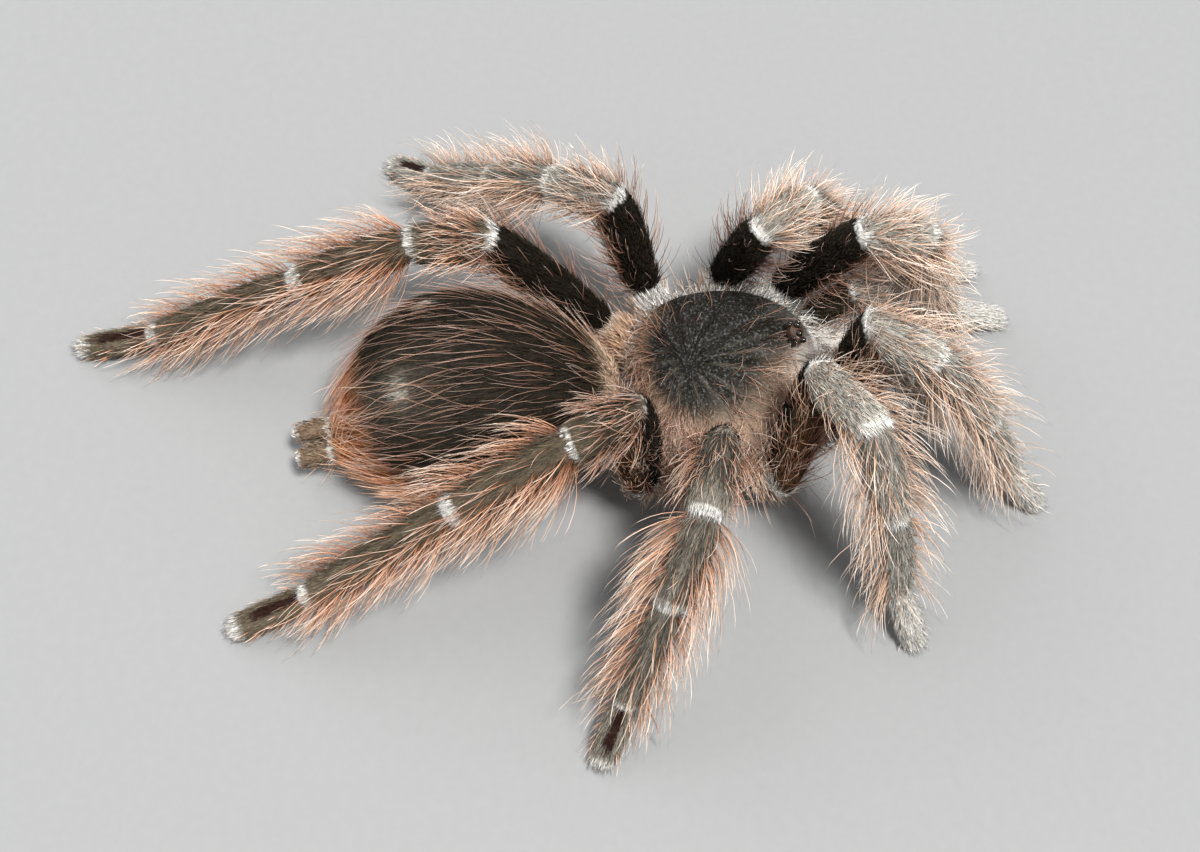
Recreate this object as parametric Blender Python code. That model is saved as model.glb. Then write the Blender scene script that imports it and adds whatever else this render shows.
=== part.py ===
"""A tarantula, an adult female of a South American ground-living kind, as a still life-size model.

The animal faces -Y, its left side is +X and +Z is up. Sizes below are millimetres and degrees, and
make_object turns them into metres. Forward is counted from the middle of the carapace. The solids
reach the surface of the dense coat, with the hair that stands up on the knees as a crest;
neighbouring pieces stand GAP apart.
"""
import math

import bmesh
import bpy
from mathutils import Matrix, Vector

MM = 0.001
GAP = 0.3

# How the body stands
BODY_PITCH = 7.7          # the head is carried higher than the tail
RIM_HEIGHT = 10.5         # rim of the carapace above the floor, at its middle
SOLE_PRESS = 0.42         # how deep a round toe would sink, so how much of its sole is flat
SHARP_ANGLE = 50.0        # edges that turn more than this are shaded sharp

# Carapace
CARAPACE_LENGTH = 22.8
CARAPACE_WIDTH = 22.4
CARAPACE_FORWARD = 1.3
CARAPACE_DOME = 5.2
CARAPACE_EDGE = 1.1
OUTLINE_BLUNTNESS = (0.86, 0.92)   # powers of the cosine and sine: below 1 is blunter than an ellipse
OUTLINE_NARROWING = (0.13, 0.05)   # how much narrower it is in front than behind
NOTCH_DEPTH = 0.5                  # the rear margin bends in over the pedicel
NOTCH_SHARPNESS = 12
DOME_FULLNESS = (2.6, 0.62)
CAPUT_RISE = 1.3
CAPUT_FORWARD = 6.5
CAPUT_SPREAD = (4.6, 5.0)          # sideways and forward
FOVEA_FORWARD = -3.2
FOVEA_DEPTH = 1.3
FOVEA_SPREAD = 0.12                # share of the way to the rim
GROOVE_DEPTH = 0.5
GROOVE_ANGLES = (34.0, 79.0, 113.0, 146.0)
GROOVE_SPREAD = 8.0                # degrees
CARAPACE_STEPS = 32
CARAPACE_RINGS = (0.14, 0.34, 0.55, 0.74, 0.88, 0.97, 1.0)
UNDER_RINGS = (0.985, 0.93)        # the rim turns in under the edge

# Eye mound with its eight eyes
EYE_FORWARD = 9.7
EYE_RISE = 4.75
MOUND_HALF = (1.75, 1.25, 1.25)
MOUND_STEPS = (28, 18)
LENSES = (                # sideways, forward, up from the mound's middle, radius
    (0.62, 0.25, 0.98, 0.36),
    (1.34, 0.62, 0.42, 0.32),
    (1.02, -0.62, 0.72, 0.22),
    (1.50, -0.38, 0.40, 0.27),
)

# Abdomen and pedicel
ABDOMEN_FRONT = -10.9
ABDOMEN_REAR = -43.8
ABDOMEN_HALF_WIDTH = 12.7
ABDOMEN_END_RADIUS = 3.0
ABDOMEN_TOP = 23.9
ABDOMEN_BOTTOM = 1.9
ABDOMEN_END_HEIGHTS = (7.0, 6.0)
WIDEST_SHIFT = 1.3        # above 1 sets its widest place behind the middle
WIDTH_FULLNESS = 0.54     # powers below 1 fill the outline out towards its ends
TOP_FULLNESS = 0.45
BOTTOM_FULLNESS = 0.8
ABDOMEN_SWING = 2.6       # how far its rear lies to the left
ABDOMEN_OFFSET = 0.6
ABDOMEN_RINGS = 13
ABDOMEN_SIDES = 24
PEDICEL_FRONT = -8.9
PEDICEL_HEIGHT = 6.3
PEDICEL_RISE = 0.3        # its rear end lies this much higher
PEDICEL_RADIUS = 1.3
PEDICEL_RINGS = ((0.0, 1.0, 1.0), (0.5, 0.86, 0.86), (1.0, 1.0, 1.0))
PEDICEL_SIDES = 12

# Sternum, under the carapace
STERNUM_HALF = (7.0, 9.4, 3.0)
STERNUM_RISE = -4.4
STERNUM_STEPS = (14, 6)

# Spinnerets: root and tip as left, forward, up
SPINNERET_ROOTS = {"left": (4.0, -44.1, 6.2), "right": (0.9, -44.1, 5.7)}
SPINNERET_TIPS = {"left": (5.0, -50.1, 4.4), "right": (1.9, -50.3, 4.0)}
SPINNERET_RADIUS = 1.35
SPINNERET_RINGS = (
    (0.0, 0.95, 0.95), (0.24, 1.0, 1.0), (0.3, 0.86, 0.86), (0.4, 1.0, 1.0), (0.85, 0.94, 0.94),
    (1.0, 0.6, 0.6),
)
SPINNERET_SIDES = 10

# Chelicerae and fangs
CHELICERA_ROOT = (2.45, 12.5, 7.9)
CHELICERA_TIP = (2.45, 19.0, 6.4)
CHELICERA_HALF = (2.2, 3.4)
CHELICERA_RINGS = (
    (0.0, 0.86, 0.86), (0.12, 0.98, 0.98), (0.42, 1.0, 1.0), (0.7, 0.93, 0.93), (0.9, 0.76, 0.76),
    (1.0, 0.52, 0.52),
)
CHELICERA_SIDES = 14
FANG_RADIUS = 0.75
FANG_TAPER = 0.62
FANG_RINGS = 8
FANG_SIDES = 8
FANG_REACH = 2.9
FANG_FLATNESS = 0.8
FANG_MIDDLE = (2.45, 17.2, 4.0)
FANG_TURN = (-25.0, 165.0)

# Limbs: half width and half height of each piece, out to the dense coat
LEG_PIECES = ("femur", "patella", "tibia", "metatarsus", "tarsus")
PALP_PIECES = ("femur", "patella", "tibia", "tarsus")
PIECE_HALF = {
    "femur": (2.6, 3.1),
    "patella": (2.65, 2.8),
    "tibia": (2.55, 2.65),
    "metatarsus": (2.25, 2.2),
    "tarsus": (2.0, 1.65),
}
PALP_SCALE = 0.76
PAIR_SCALE = {1: 0.98, 2: 0.98, 3: 1.0, 4: 1.04}
LIMB_SIDES = 10
PIECE_RINGS = {           # place along the piece, share of its half width, share of its half height
    "femur": ((0.0, 0.66, 0.66), (0.12, 0.86, 0.86), (0.42, 1.0, 1.0), (0.72, 1.02, 1.02),
              (0.93, 0.99, 0.9), (1.0, 0.88, 0.66)),
    "patella": ((0.0, 0.9, 0.7), (0.08, 0.99, 0.88), (0.22, 1.0, 0.97), (0.42, 1.02, 1.0),
                (0.68, 1.02, 1.02), (0.92, 0.92, 0.92), (1.0, 0.76, 0.76)),
    "tibia": ((0.0, 0.76, 0.76), (0.1, 0.93, 0.93), (0.35, 1.02, 1.02), (0.66, 1.0, 1.0),
              (0.93, 0.9, 0.9), (1.0, 0.76, 0.76)),
    "metatarsus": ((0.0, 0.8, 0.8), (0.08, 0.95, 0.95), (0.35, 1.02, 1.02), (0.68, 0.97, 0.97),
                   (0.94, 0.86, 0.86), (1.0, 0.72, 0.72)),
    "tarsus": ((0.0, 0.76, 0.76), (0.12, 0.94, 0.94), (0.45, 1.03, 1.03), (0.76, 0.98, 0.98),
               (0.93, 0.78, 0.78), (1.0, 0.46, 0.46)),
}
KNEE_CRESTS = {0: 0.8, 1: 3.2, 2: 2.6, 3: 1.4, 4: 1.0}   # how high the hair stands on each pair's knees
CREST_LEAN = 0.6          # below 1 the crest peaks nearer the femur

# Leg sizes by pair, from the front: lengths from femur to tarsus, and where the trochanter ends
LEG_LENGTHS = {
    1: (19.5, 9.0, 12.5, 10.5, 7.5),
    2: (17.0, 10.5, 12.0, 12.5, 8.0),
    3: (15.5, 9.0, 11.0, 13.5, 8.5),
    4: (19.0, 9.5, 15.5, 20.5, 10.5),
}
LEG_BASES = {1: (10.2, 10.4, 9.8), 2: (14.1, 4.2, 8.0), 3: (14.4, -5.3, 7.5), 4: (10.6, -11.2, 7.0)}
COXA_ROOTS = {1: (4.5, 6.5, 7.6), 2: (6.0, 2.4, 6.8), 3: (6.0, -2.8, 6.2), 4: (4.5, -6.4, 5.8)}
COXA_HALF = (2.6, 3.1)
COXA_SIDES = 8
COXA_RINGS = ((0.0, 1.0, 1.0), (0.6, 1.06, 1.06), (1.0, 0.78, 0.78))
PALP_LENGTHS = (9.8, 6.5, 7.0, 7.5)
PALP_BASE = (6.3, 12.9, 8.3)
PALP_COXA_ROOT = (5.3, 7.4, 7.0)
PALP_COXA_SCALE = 0.7

# The pose. Headings turn from straight ahead (0) towards the leg's own side (90) and back (180);
# lifts are angles above the floor. The tarsus always comes down to the floor.
LEG_POSES = {
    ("left", 1): {"headings": (-40, 5, 41, -8, -10), "lifts": (65, -25, -76, -62)},
    ("left", 2): {"headings": (-65, 37, 6, -10, -8), "lifts": (73, -24, -60, -36)},
    ("left", 3): {"headings": (130, 136, 136, 130, 130), "lifts": (70, -18, -36, -39)},
    ("left", 4): {"headings": (151, 165, 175, 176, 169), "lifts": (42, -10, -23, -25)},
    ("right", 1): {"headings": (-45, 30, 32, 32, 32), "lifts": (75, -24, -52, -64)},
    ("right", 2): {"headings": (-45, 72, 72, 72, 72), "lifts": (70, 22, -58, -70)},
    ("right", 3): {"headings": (36, 115, 130, 132, 128), "lifts": (84, 6, -44, -50)},
    ("right", 4): {"headings": (222, 172, 170, 172, 176), "lifts": (88, -30, -24, -30)},
}
PALP_POSES = {
    "left": {"headings": (-25, 8, 10, 10), "lifts": (64, -46, -58)},
    "right": {"headings": (-12, 6, 8, 8), "lifts": (66, -48, -58)},
}

# Colours of the pieces: red, green, blue in linear light, then roughness
COATS = {
    "carapace": (0.030, 0.028, 0.030, 0.55),
    "abdomen": (0.040, 0.026, 0.018, 0.75),
    "under": (0.110, 0.060, 0.040, 0.80),
    "femur": (0.028, 0.024, 0.022, 0.65),
    "patella": (0.190, 0.140, 0.100, 0.70),
    "tibia": (0.210, 0.140, 0.095, 0.70),
    "metatarsus": (0.240, 0.160, 0.110, 0.70),
    "tarsus": (0.170, 0.145, 0.110, 0.75),
    "chelicera": (0.130, 0.110, 0.100, 0.70),
    "spinneret": (0.150, 0.110, 0.070, 0.70),
    "fang": (0.012, 0.008, 0.006, 0.20),
    "eye": (0.010, 0.006, 0.005, 0.08),
}


def clear_scene():
    for obj in list(bpy.data.objects):
        bpy.data.objects.remove(obj, do_unlink=True)


def coat_material(name, coat):
    red, green, blue, roughness = COATS[coat]
    material = bpy.data.materials.new(name + "_coat")
    material.use_nodes = True
    shader = material.node_tree.nodes["Principled BSDF"]
    shader.inputs["Base Color"].default_value = (red, green, blue, 1.0)
    shader.inputs["Roughness"].default_value = roughness
    shader.inputs["Metallic"].default_value = 0.0
    return material


def at(left, forward, up):
    """A point in the model's axes from how far left, forward and up it lies."""
    return Vector((left, -forward, up))


def mirrored(place, side):
    left, forward, up = place
    return at(left if side == "left" else -left, forward, up)


def direction(side, heading, lift):
    turn = math.radians(heading)
    rise = math.radians(lift)
    outward = 1.0 if side == "left" else -1.0
    level = math.cos(rise)
    return at(outward * math.sin(turn) * level, math.cos(turn) * level, math.sin(rise))


def on_body(left, forward, rise):
    """A point given in the pitched frame of the carapace, whose rim lies at rise 0."""
    tip_up = math.radians(BODY_PITCH)
    along = forward * math.cos(tip_up) - rise * math.sin(tip_up)
    up = forward * math.sin(tip_up) + rise * math.cos(tip_up)
    return at(left, along, RIM_HEIGHT + up)


def make_object(name, bm, coat):
    """Turn a closed shape in millimetres into a named object in metres with its own material."""
    bmesh.ops.recalc_face_normals(bm, faces=bm.faces)
    bmesh.ops.scale(bm, vec=(MM, MM, MM), verts=bm.verts)
    mesh = bpy.data.meshes.new(name)
    bm.to_mesh(mesh)
    bm.free()
    mesh.shade_smooth()
    mesh.set_sharp_from_angle(angle=math.radians(SHARP_ANGLE))
    mesh.materials.append(coat_material(name, coat))
    obj = bpy.data.objects.new(name, mesh)
    bpy.context.scene.collection.objects.link(obj)
    return obj


def loft(rings):
    """Close a skin over rings of equal count, with a flat face on each end."""
    bm = bmesh.new()
    loops = [[bm.verts.new(point) for point in ring] for ring in rings]
    count = len(loops[0])
    for near, far in zip(loops, loops[1:]):
        for i in range(count):
            j = (i + 1) % count
            bm.faces.new((near[i], near[j], far[j], far[i]))
    bm.faces.new(reversed(loops[0]))
    bm.faces.new(loops[-1])
    return bm


def round_ring(centre, across, upward, half_width, half_height, sides):
    ring = []
    for i in range(sides):
        angle = 2.0 * math.pi * (i + 0.5) / sides
        offset = across * (half_width * math.cos(angle)) + upward * (half_height * math.sin(angle))
        ring.append(centre + offset)
    return ring


def tube_between(start, end, start_plane, end_plane, across, half, profile, sides, crest=0.0):
    """Loft a limb piece whose ends lie in the given planes, each set back by half a gap.

    A crest swells its upper side by so much, fading out towards both ends.
    """
    axis = (end - start).normalized()
    across = (across - axis * across.dot(axis)).normalized()
    upward = axis.cross(across)
    if upward.z < 0.0:
        across, upward = -across, -upward
    length = (end - start).length

    def ring_offset(angle, width_share, height_share, swell):
        height = half[1] * height_share * math.sin(angle) + swell * max(0.0, math.sin(angle))
        return across * (half[0] * width_share * math.cos(angle)) + upward * height

    rings = []
    for place, width_share, height_share in profile:
        ring = []
        swell = crest * math.sin(math.pi * place ** CREST_LEAN)
        for i in range(sides):
            angle = 2.0 * math.pi * (i + 0.5) / sides
            near = ring_offset(angle, *profile[0][1:], 0.0)
            far = ring_offset(angle, *profile[-1][1:], 0.0)
            first = (GAP / 2 - near.dot(start_plane)) / axis.dot(start_plane)
            last = length + (-GAP / 2 - far.dot(end_plane)) / axis.dot(end_plane)
            offset = ring_offset(angle, width_share, height_share, swell)
            ring.append(start + axis * (first + (last - first) * place) + offset)
        rings.append(ring)
    return loft(rings)


def toe_height(ankle_height, length, half_height):
    """Height of the axis at the toe, where the round toe would sink SOLE_PRESS into the floor."""
    toe_place, _, toe_scale = PIECE_RINGS["tarsus"][-2]
    height = half_height
    for _ in range(5):
        tilt = math.asin((ankle_height - height) / length)
        height = toe_scale * half_height * math.cos(tilt) - SOLE_PRESS
        height -= (1.0 - toe_place) * length * math.sin(tilt)
    return height


def limb_joints(base, side, lengths, pose, scale):
    """Walk outwards from the base; the last piece reaches down to the floor."""
    joints = [base]
    for length, heading, lift in zip(lengths, pose["headings"], pose["lifts"]):
        joints.append(joints[-1] + direction(side, heading, lift) * length)
    ankle = joints[-1]
    toe = toe_height(ankle.z, lengths[-1], PIECE_HALF["tarsus"][1] * scale)
    last_lift = math.degrees(math.asin((toe - ankle.z) / lengths[-1]))
    joints.append(ankle + direction(side, pose["headings"][-1], last_lift) * lengths[-1])
    return joints


def joint_planes(points):
    """The plane across each joint halves the bend between the pieces that meet there."""
    axes = [(b - a).normalized() for a, b in zip(points, points[1:])]
    planes = [axes[0]]
    planes += [(before + after).normalized() for before, after in zip(axes, axes[1:])]
    planes.append(axes[-1])
    return planes


def cut_flat(bm, place, normal):
    """Take away what lies behind a plane and close the shape there with a flat face."""
    geometry = bm.verts[:] + bm.edges[:] + bm.faces[:]
    cut = bmesh.ops.bisect_plane(bm, geom=geometry, plane_co=place, plane_no=normal, clear_inner=True)
    rim = [item for item in cut["geom_cut"] if isinstance(item, bmesh.types.BMEdge)]
    bmesh.ops.contextual_create(bm, geom=rim)


def make_limb(prefix, root, base, side, pieces, lengths, pose, scale, crest):
    """Build a limb's pieces from the trochanter out, and return the plane that cuts the trochanter."""
    joints = limb_joints(base, side, lengths, pose, scale)
    planes = joint_planes([root] + joints)[1:]
    across = direction(side, pose["headings"][1] + 90.0, 0.0)
    for i, piece in enumerate(pieces):
        half = tuple(size * scale for size in PIECE_HALF[piece])
        bm = tube_between(joints[i], joints[i + 1], planes[i], planes[i + 1], across, half,
                          PIECE_RINGS[piece], LIMB_SIDES, crest if piece == "patella" else 0.0)
        if piece == "tarsus":
            cut_flat(bm, (0, 0, 0), (0, 0, 1))
        make_object(prefix + "_" + piece, bm, piece)
    return planes[0]


def make_helper(name, bm):
    helper = make_object(name, bm, "under")
    helper.hide_render = True
    helper.display_type = "WIRE"
    return helper


def combine(obj, helper, operation):
    """Join or cut with another solid, keep the result and drop the helper."""
    modifier = obj.modifiers.new(operation.lower(), "BOOLEAN")
    modifier.operation = operation
    modifier.solver = "EXACT"
    modifier.object = helper
    bpy.context.view_layer.update()
    evaluated = obj.evaluated_get(bpy.context.evaluated_depsgraph_get())
    mesh = bpy.data.meshes.new_from_object(evaluated)
    obj.modifiers.remove(modifier)
    obj.data = mesh
    bpy.data.objects.remove(helper, do_unlink=True)


def ellipsoid(half, steps, place):
    bm = bmesh.new()
    bmesh.ops.create_uvsphere(bm, u_segments=steps[0], v_segments=steps[1], radius=1.0)
    bmesh.ops.scale(bm, vec=half, verts=bm.verts)
    bmesh.ops.translate(bm, vec=place, verts=bm.verts)
    return bm


def carapace_outline(angle):
    """Half length and half width at an angle from straight ahead: blunt, narrower in front."""
    forward = math.copysign(abs(math.cos(angle)) ** OUTLINE_BLUNTNESS[0], math.cos(angle))
    sideways = math.copysign(abs(math.sin(angle)) ** OUTLINE_BLUNTNESS[1], math.sin(angle))
    narrowing = 1.0 - OUTLINE_NARROWING[0] * forward - OUTLINE_NARROWING[1] * forward * abs(forward)
    notch = NOTCH_DEPTH * max(0.0, -math.cos(angle)) ** NOTCH_SHARPNESS
    return (CARAPACE_WIDTH / 2 * sideways * narrowing,
            CARAPACE_FORWARD + CARAPACE_LENGTH / 2 * forward + notch)


def carapace_rise(reach, angle, sideways, forward):
    """Height above the rim: a low dome, the raised caput, the fovea and its radiating grooves."""
    dome = CARAPACE_DOME * max(0.0, 1.0 - reach ** DOME_FULLNESS[0]) ** DOME_FULLNESS[1]
    ahead = (forward - CAPUT_FORWARD) / CAPUT_SPREAD[1]
    caput = CAPUT_RISE * math.exp(-ahead ** 2 - (sideways / CAPUT_SPREAD[0]) ** 2)
    fovea = FOVEA_DEPTH * math.exp(-(reach / FOVEA_SPREAD) ** 2)
    off_groove = min(abs(abs(math.degrees(angle)) - groove) for groove in GROOVE_ANGLES)
    groove = GROOVE_DEPTH * math.exp(-(off_groove / GROOVE_SPREAD) ** 2) * math.sin(math.pi * min(reach, 1.0))
    return dome + caput * (1.0 - reach ** 6) - fovea - groove


def carapace_shape(grown):
    """The carapace, or the same shape grown on all sides to cut its neighbours clear of it."""
    bm = bmesh.new()
    top = bm.verts.new(on_body(0.0, FOVEA_FORWARD, carapace_rise(0.0, 0.0, 0.0, FOVEA_FORWARD) + grown))
    loops = []
    for reach in CARAPACE_RINGS + UNDER_RINGS:
        loops.append([])
        below = len(loops) > len(CARAPACE_RINGS)
        for step in range(CARAPACE_STEPS):
            angle = 2.0 * math.pi * step / CARAPACE_STEPS
            angle = angle if angle <= math.pi else angle - 2.0 * math.pi
            rim_side, rim_forward = carapace_outline(angle)
            sideways = reach * rim_side
            forward = FOVEA_FORWARD + reach * (rim_forward - FOVEA_FORWARD)
            rise = carapace_rise(reach, angle, sideways, forward) + grown
            if below:
                rise = -CARAPACE_EDGE * (1.0 if reach == UNDER_RINGS[-1] else 0.5) - grown
            swell = Vector((math.sin(angle), math.cos(angle))) * grown
            loops[-1].append(bm.verts.new(on_body(sideways + swell.x, forward + swell.y, rise)))
    for i in range(CARAPACE_STEPS):
        bm.faces.new((top, loops[0][i - 1], loops[0][i]))
        for inner, outer in zip(loops, loops[1:]):
            bm.faces.new((inner[i - 1], outer[i - 1], outer[i], inner[i]))
    bm.faces.new(loops[-1])
    return bm


def cut_by_carapace(obj):
    bm = carapace_shape(GAP)
    bmesh.ops.recalc_face_normals(bm, faces=bm.faces)
    combine(obj, make_helper("carapace_clearance", bm), "DIFFERENCE")


def mound_reach(ray, outward):
    """How far the mound, or a lens that stands out of it, reaches along a ray from its middle."""
    reach = 1.0 / math.sqrt(sum((ray[i] / MOUND_HALF[i]) ** 2 for i in range(3)))
    for sideways, forward, up, radius in LENSES:
        lens = at(outward * sideways, forward, up)
        along = ray.dot(lens)
        depth = along * along - lens.length_squared + radius * radius
        if along > 0.0 and depth > 0.0:
            reach = max(reach, along + math.sqrt(depth))
    return reach


def ridge_point(forward):
    """A point one gap above the carapace's middle line, ahead of the fovea."""
    rim_forward = carapace_outline(0.0)[1]
    reach = (forward - FOVEA_FORWARD) / (rim_forward - FOVEA_FORWARD)
    return on_body(0.0, forward, carapace_rise(reach, 0.0, 0.0, forward) + GAP)


def make_eyes(side):
    """Half of the eye mound with four of the eight eyes on it, seated just above the carapace."""
    outward = 1.0 if side == "left" else -1.0
    middle = on_body(0.0, EYE_FORWARD, EYE_RISE)
    mound = ellipsoid((1.0, 1.0, 1.0), MOUND_STEPS, (0, 0, 0))
    for vertex in mound.verts:
        ray = vertex.co.normalized()
        vertex.co = middle + ray * mound_reach(ray, outward)
    cut_flat(mound, (outward * GAP / 2, 0, 0), (outward, 0, 0))
    slope = ridge_point(EYE_FORWARD + MOUND_HALF[1]) - ridge_point(EYE_FORWARD - MOUND_HALF[1])
    cut_flat(mound, ridge_point(EYE_FORWARD), Vector((-1, 0, 0)).cross(slope))
    make_object("eyes_" + side, mound, "eye")


def abdomen_section(place):
    """Centre, half width and half height of the abdomen at a place from front, 0, to rear, 1."""
    inside = 0.0 < place < 1.0
    wide = math.sin(math.pi * place ** WIDEST_SHIFT) ** WIDTH_FULLNESS if inside else 0.0
    high = math.sin(math.pi * place) ** TOP_FULLNESS if inside else 0.0
    low = math.sin(math.pi * place) ** BOTTOM_FULLNESS if inside else 0.0
    half_width = ABDOMEN_END_RADIUS + (ABDOMEN_HALF_WIDTH - ABDOMEN_END_RADIUS) * wide
    end_height = ABDOMEN_END_HEIGHTS[0] + (ABDOMEN_END_HEIGHTS[1] - ABDOMEN_END_HEIGHTS[0]) * place
    top = end_height + ABDOMEN_END_RADIUS
    top += (ABDOMEN_TOP - top) * high
    bottom = end_height - ABDOMEN_END_RADIUS
    bottom += (ABDOMEN_BOTTOM - bottom) * low
    sideways = ABDOMEN_OFFSET + ABDOMEN_SWING * place
    forward = ABDOMEN_FRONT + (ABDOMEN_REAR - ABDOMEN_FRONT) * place
    return at(sideways, forward, (top + bottom) / 2), half_width, (top - bottom) / 2


def make_abdomen():
    across = Vector((1, 0, 0))
    upward = Vector((0, 0, 1))
    rings = []
    for i in range(ABDOMEN_RINGS):
        place = (1.0 - math.cos(math.pi * i / (ABDOMEN_RINGS - 1))) / 2
        centre, half_width, half_height = abdomen_section(place)
        rings.append(round_ring(centre, across, upward, half_width, half_height, ABDOMEN_SIDES))
    make_object("abdomen", loft(rings), "abdomen")


def make_pedicel():
    front = at(0.0, PEDICEL_FRONT, PEDICEL_HEIGHT)
    rear = at(ABDOMEN_OFFSET, ABDOMEN_FRONT + GAP, PEDICEL_HEIGHT + PEDICEL_RISE)
    flat = Vector((0, 1, 0))
    bm = tube_between(front, rear, flat, flat, Vector((1, 0, 0)), (PEDICEL_RADIUS, PEDICEL_RADIUS),
                      PEDICEL_RINGS, PEDICEL_SIDES)
    make_object("pedicel", bm, "under")


def make_sternum(trochanter_planes):
    """The sternum with the coxae and trochanters that grow from it, joined into one solid."""
    plate = ellipsoid(STERNUM_HALF, STERNUM_STEPS, on_body(0.0, 0.0, STERNUM_RISE))
    sternum = make_object("sternum_and_coxae", plate, "under")
    for (side, pair), plane in trochanter_planes.items():
        palp = pair == 0
        root = mirrored(PALP_COXA_ROOT if palp else COXA_ROOTS[pair], side)
        base = mirrored(PALP_BASE if palp else LEG_BASES[pair], side)
        scale = PALP_COXA_SCALE if palp else 1.0
        coxa = tube_between(root, base, (base - root).normalized(), plane, Vector((0, 0, 1)),
                            (COXA_HALF[0] * scale, COXA_HALF[1] * scale), COXA_RINGS, COXA_SIDES)
        combine(sternum, make_helper("coxa", coxa), "UNION")
    cut_by_carapace(sternum)


def make_chelicera(side):
    root = mirrored(CHELICERA_ROOT, side)
    tip = mirrored(CHELICERA_TIP, side)
    axis = (tip - root).normalized()
    bm = tube_between(root, tip, axis, axis, Vector((1, 0, 0)), CHELICERA_HALF, CHELICERA_RINGS,
                      CHELICERA_SIDES)
    make_object("chelicera_" + side, bm, "chelicera")
    cut_by_carapace(bpy.data.objects["chelicera_" + side])


def make_fang(side):
    """A fang curves from the tip of its chelicera back under it, like a folded blade."""
    centre = mirrored(FANG_MIDDLE, side)
    across = Vector((1, 0, 0))
    rings = []
    for i in range(FANG_RINGS):
        share = i / (FANG_RINGS - 1)
        angle = math.radians(FANG_TURN[0] + (FANG_TURN[1] - FANG_TURN[0]) * share)
        outward = at(0.0, math.cos(angle), -math.sin(angle) * FANG_FLATNESS)
        radius = FANG_RADIUS * (1.0 - FANG_TAPER * share)
        middle = centre + outward * FANG_REACH
        rings.append(round_ring(middle, across, outward.normalized(), radius, radius, FANG_SIDES))
    make_object("fang_" + side, loft(rings), "fang")


def make_spinneret(side):
    root = at(*SPINNERET_ROOTS[side])
    tip = at(*SPINNERET_TIPS[side])
    flat = Vector((0, 1, 0))
    bm = tube_between(root, tip, flat, (tip - root).normalized(), Vector((1, 0, 0)),
                      (SPINNERET_RADIUS, SPINNERET_RADIUS), SPINNERET_RINGS, SPINNERET_SIDES)
    make_object("spinneret_" + side, bm, "spinneret")


def stand_at_origin():
    """Move the model sideways so that the middle of its box is at the origin, with its feet at 0."""
    objects = list(bpy.data.objects)
    points = [vertex.co for obj in objects for vertex in obj.data.vertices]
    middle = [(min(p[i] for p in points) + max(p[i] for p in points)) / 2 for i in range(2)]
    shift = Matrix.Translation((-middle[0], -middle[1], 0.0))
    for obj in objects:
        obj.data.transform(shift)


def main():
    clear_scene()
    make_object("carapace", carapace_shape(0.0), "carapace")
    trochanter_planes = {}
    for (side, pair), pose in LEG_POSES.items():
        root = mirrored(COXA_ROOTS[pair], side)
        base = mirrored(LEG_BASES[pair], side)
        trochanter_planes[side, pair] = make_limb(
            "leg_" + side + "_" + str(pair), root, base, side, LEG_PIECES, LEG_LENGTHS[pair], pose,
            PAIR_SCALE[pair], KNEE_CRESTS[pair])
    for side, pose in PALP_POSES.items():
        trochanter_planes[side, 0] = make_limb(
            "palp_" + side, mirrored(PALP_COXA_ROOT, side), mirrored(PALP_BASE, side),
            side, PALP_PIECES, PALP_LENGTHS, pose, PALP_SCALE, KNEE_CRESTS[0])
    make_sternum(trochanter_planes)
    make_pedicel()
    make_abdomen()
    for side in ("left", "right"):
        make_chelicera(side)
        make_fang(side)
        make_spinneret(side)
        make_eyes(side)
    stand_at_origin()


main()
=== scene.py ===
import math
from collections import namedtuple
from dataclasses import dataclass

import bpy
import numpy as np
from mathutils import Matrix, Vector
from mathutils.kdtree import KDTree


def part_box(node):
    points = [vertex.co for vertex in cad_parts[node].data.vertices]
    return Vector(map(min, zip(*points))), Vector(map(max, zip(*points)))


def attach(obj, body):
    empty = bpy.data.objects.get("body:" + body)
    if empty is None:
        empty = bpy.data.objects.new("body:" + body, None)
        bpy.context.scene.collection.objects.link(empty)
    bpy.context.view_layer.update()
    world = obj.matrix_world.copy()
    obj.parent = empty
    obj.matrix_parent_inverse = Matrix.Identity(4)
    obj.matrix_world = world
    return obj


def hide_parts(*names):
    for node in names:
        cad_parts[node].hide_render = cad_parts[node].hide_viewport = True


# A tarantula as a still, life-size model. Everything below is worked out in millimetres.
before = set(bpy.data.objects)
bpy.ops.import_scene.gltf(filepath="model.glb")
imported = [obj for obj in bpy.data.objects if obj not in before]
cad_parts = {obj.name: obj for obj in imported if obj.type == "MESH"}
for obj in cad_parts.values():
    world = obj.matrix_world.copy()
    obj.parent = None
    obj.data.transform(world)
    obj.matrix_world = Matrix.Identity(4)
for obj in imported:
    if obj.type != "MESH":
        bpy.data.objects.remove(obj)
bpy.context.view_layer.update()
scene = bpy.context.scene
mm = 0.001
up = np.array((0.0, 0.0, 1.0))
dice = np.random.default_rng(22)  # every random draw comes from here


def unit(rows):
    rows = np.asarray(rows, float)
    return rows / np.maximum(np.linalg.norm(rows, axis=-1, keepdims=True), 1e-9)


def smooth(value, low, high):  # 0 below low, 1 above high, an even slope between
    share = np.clip((np.asarray(value, float) - low) / (high - low), 0.0, 1.0)
    return share * share * (3.0 - 2.0 * share)


def hump(value, middle, spread):
    return np.exp(-((np.asarray(value, float) - middle) / spread) ** 2)


def vertexPlaces(mesh):
    places = np.empty(len(mesh.vertices) * 3)
    mesh.vertices.foreach_get("co", places)
    return places.reshape(-1, 3) / mm


def nodePoints(name):  # a node's corners, once each
    return np.unique(np.round(vertexPlaces(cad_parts[name].data), 3), axis=0)


def boxOf(name):
    low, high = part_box(name)
    return np.array(low) / mm, np.array(high) / mm


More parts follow.
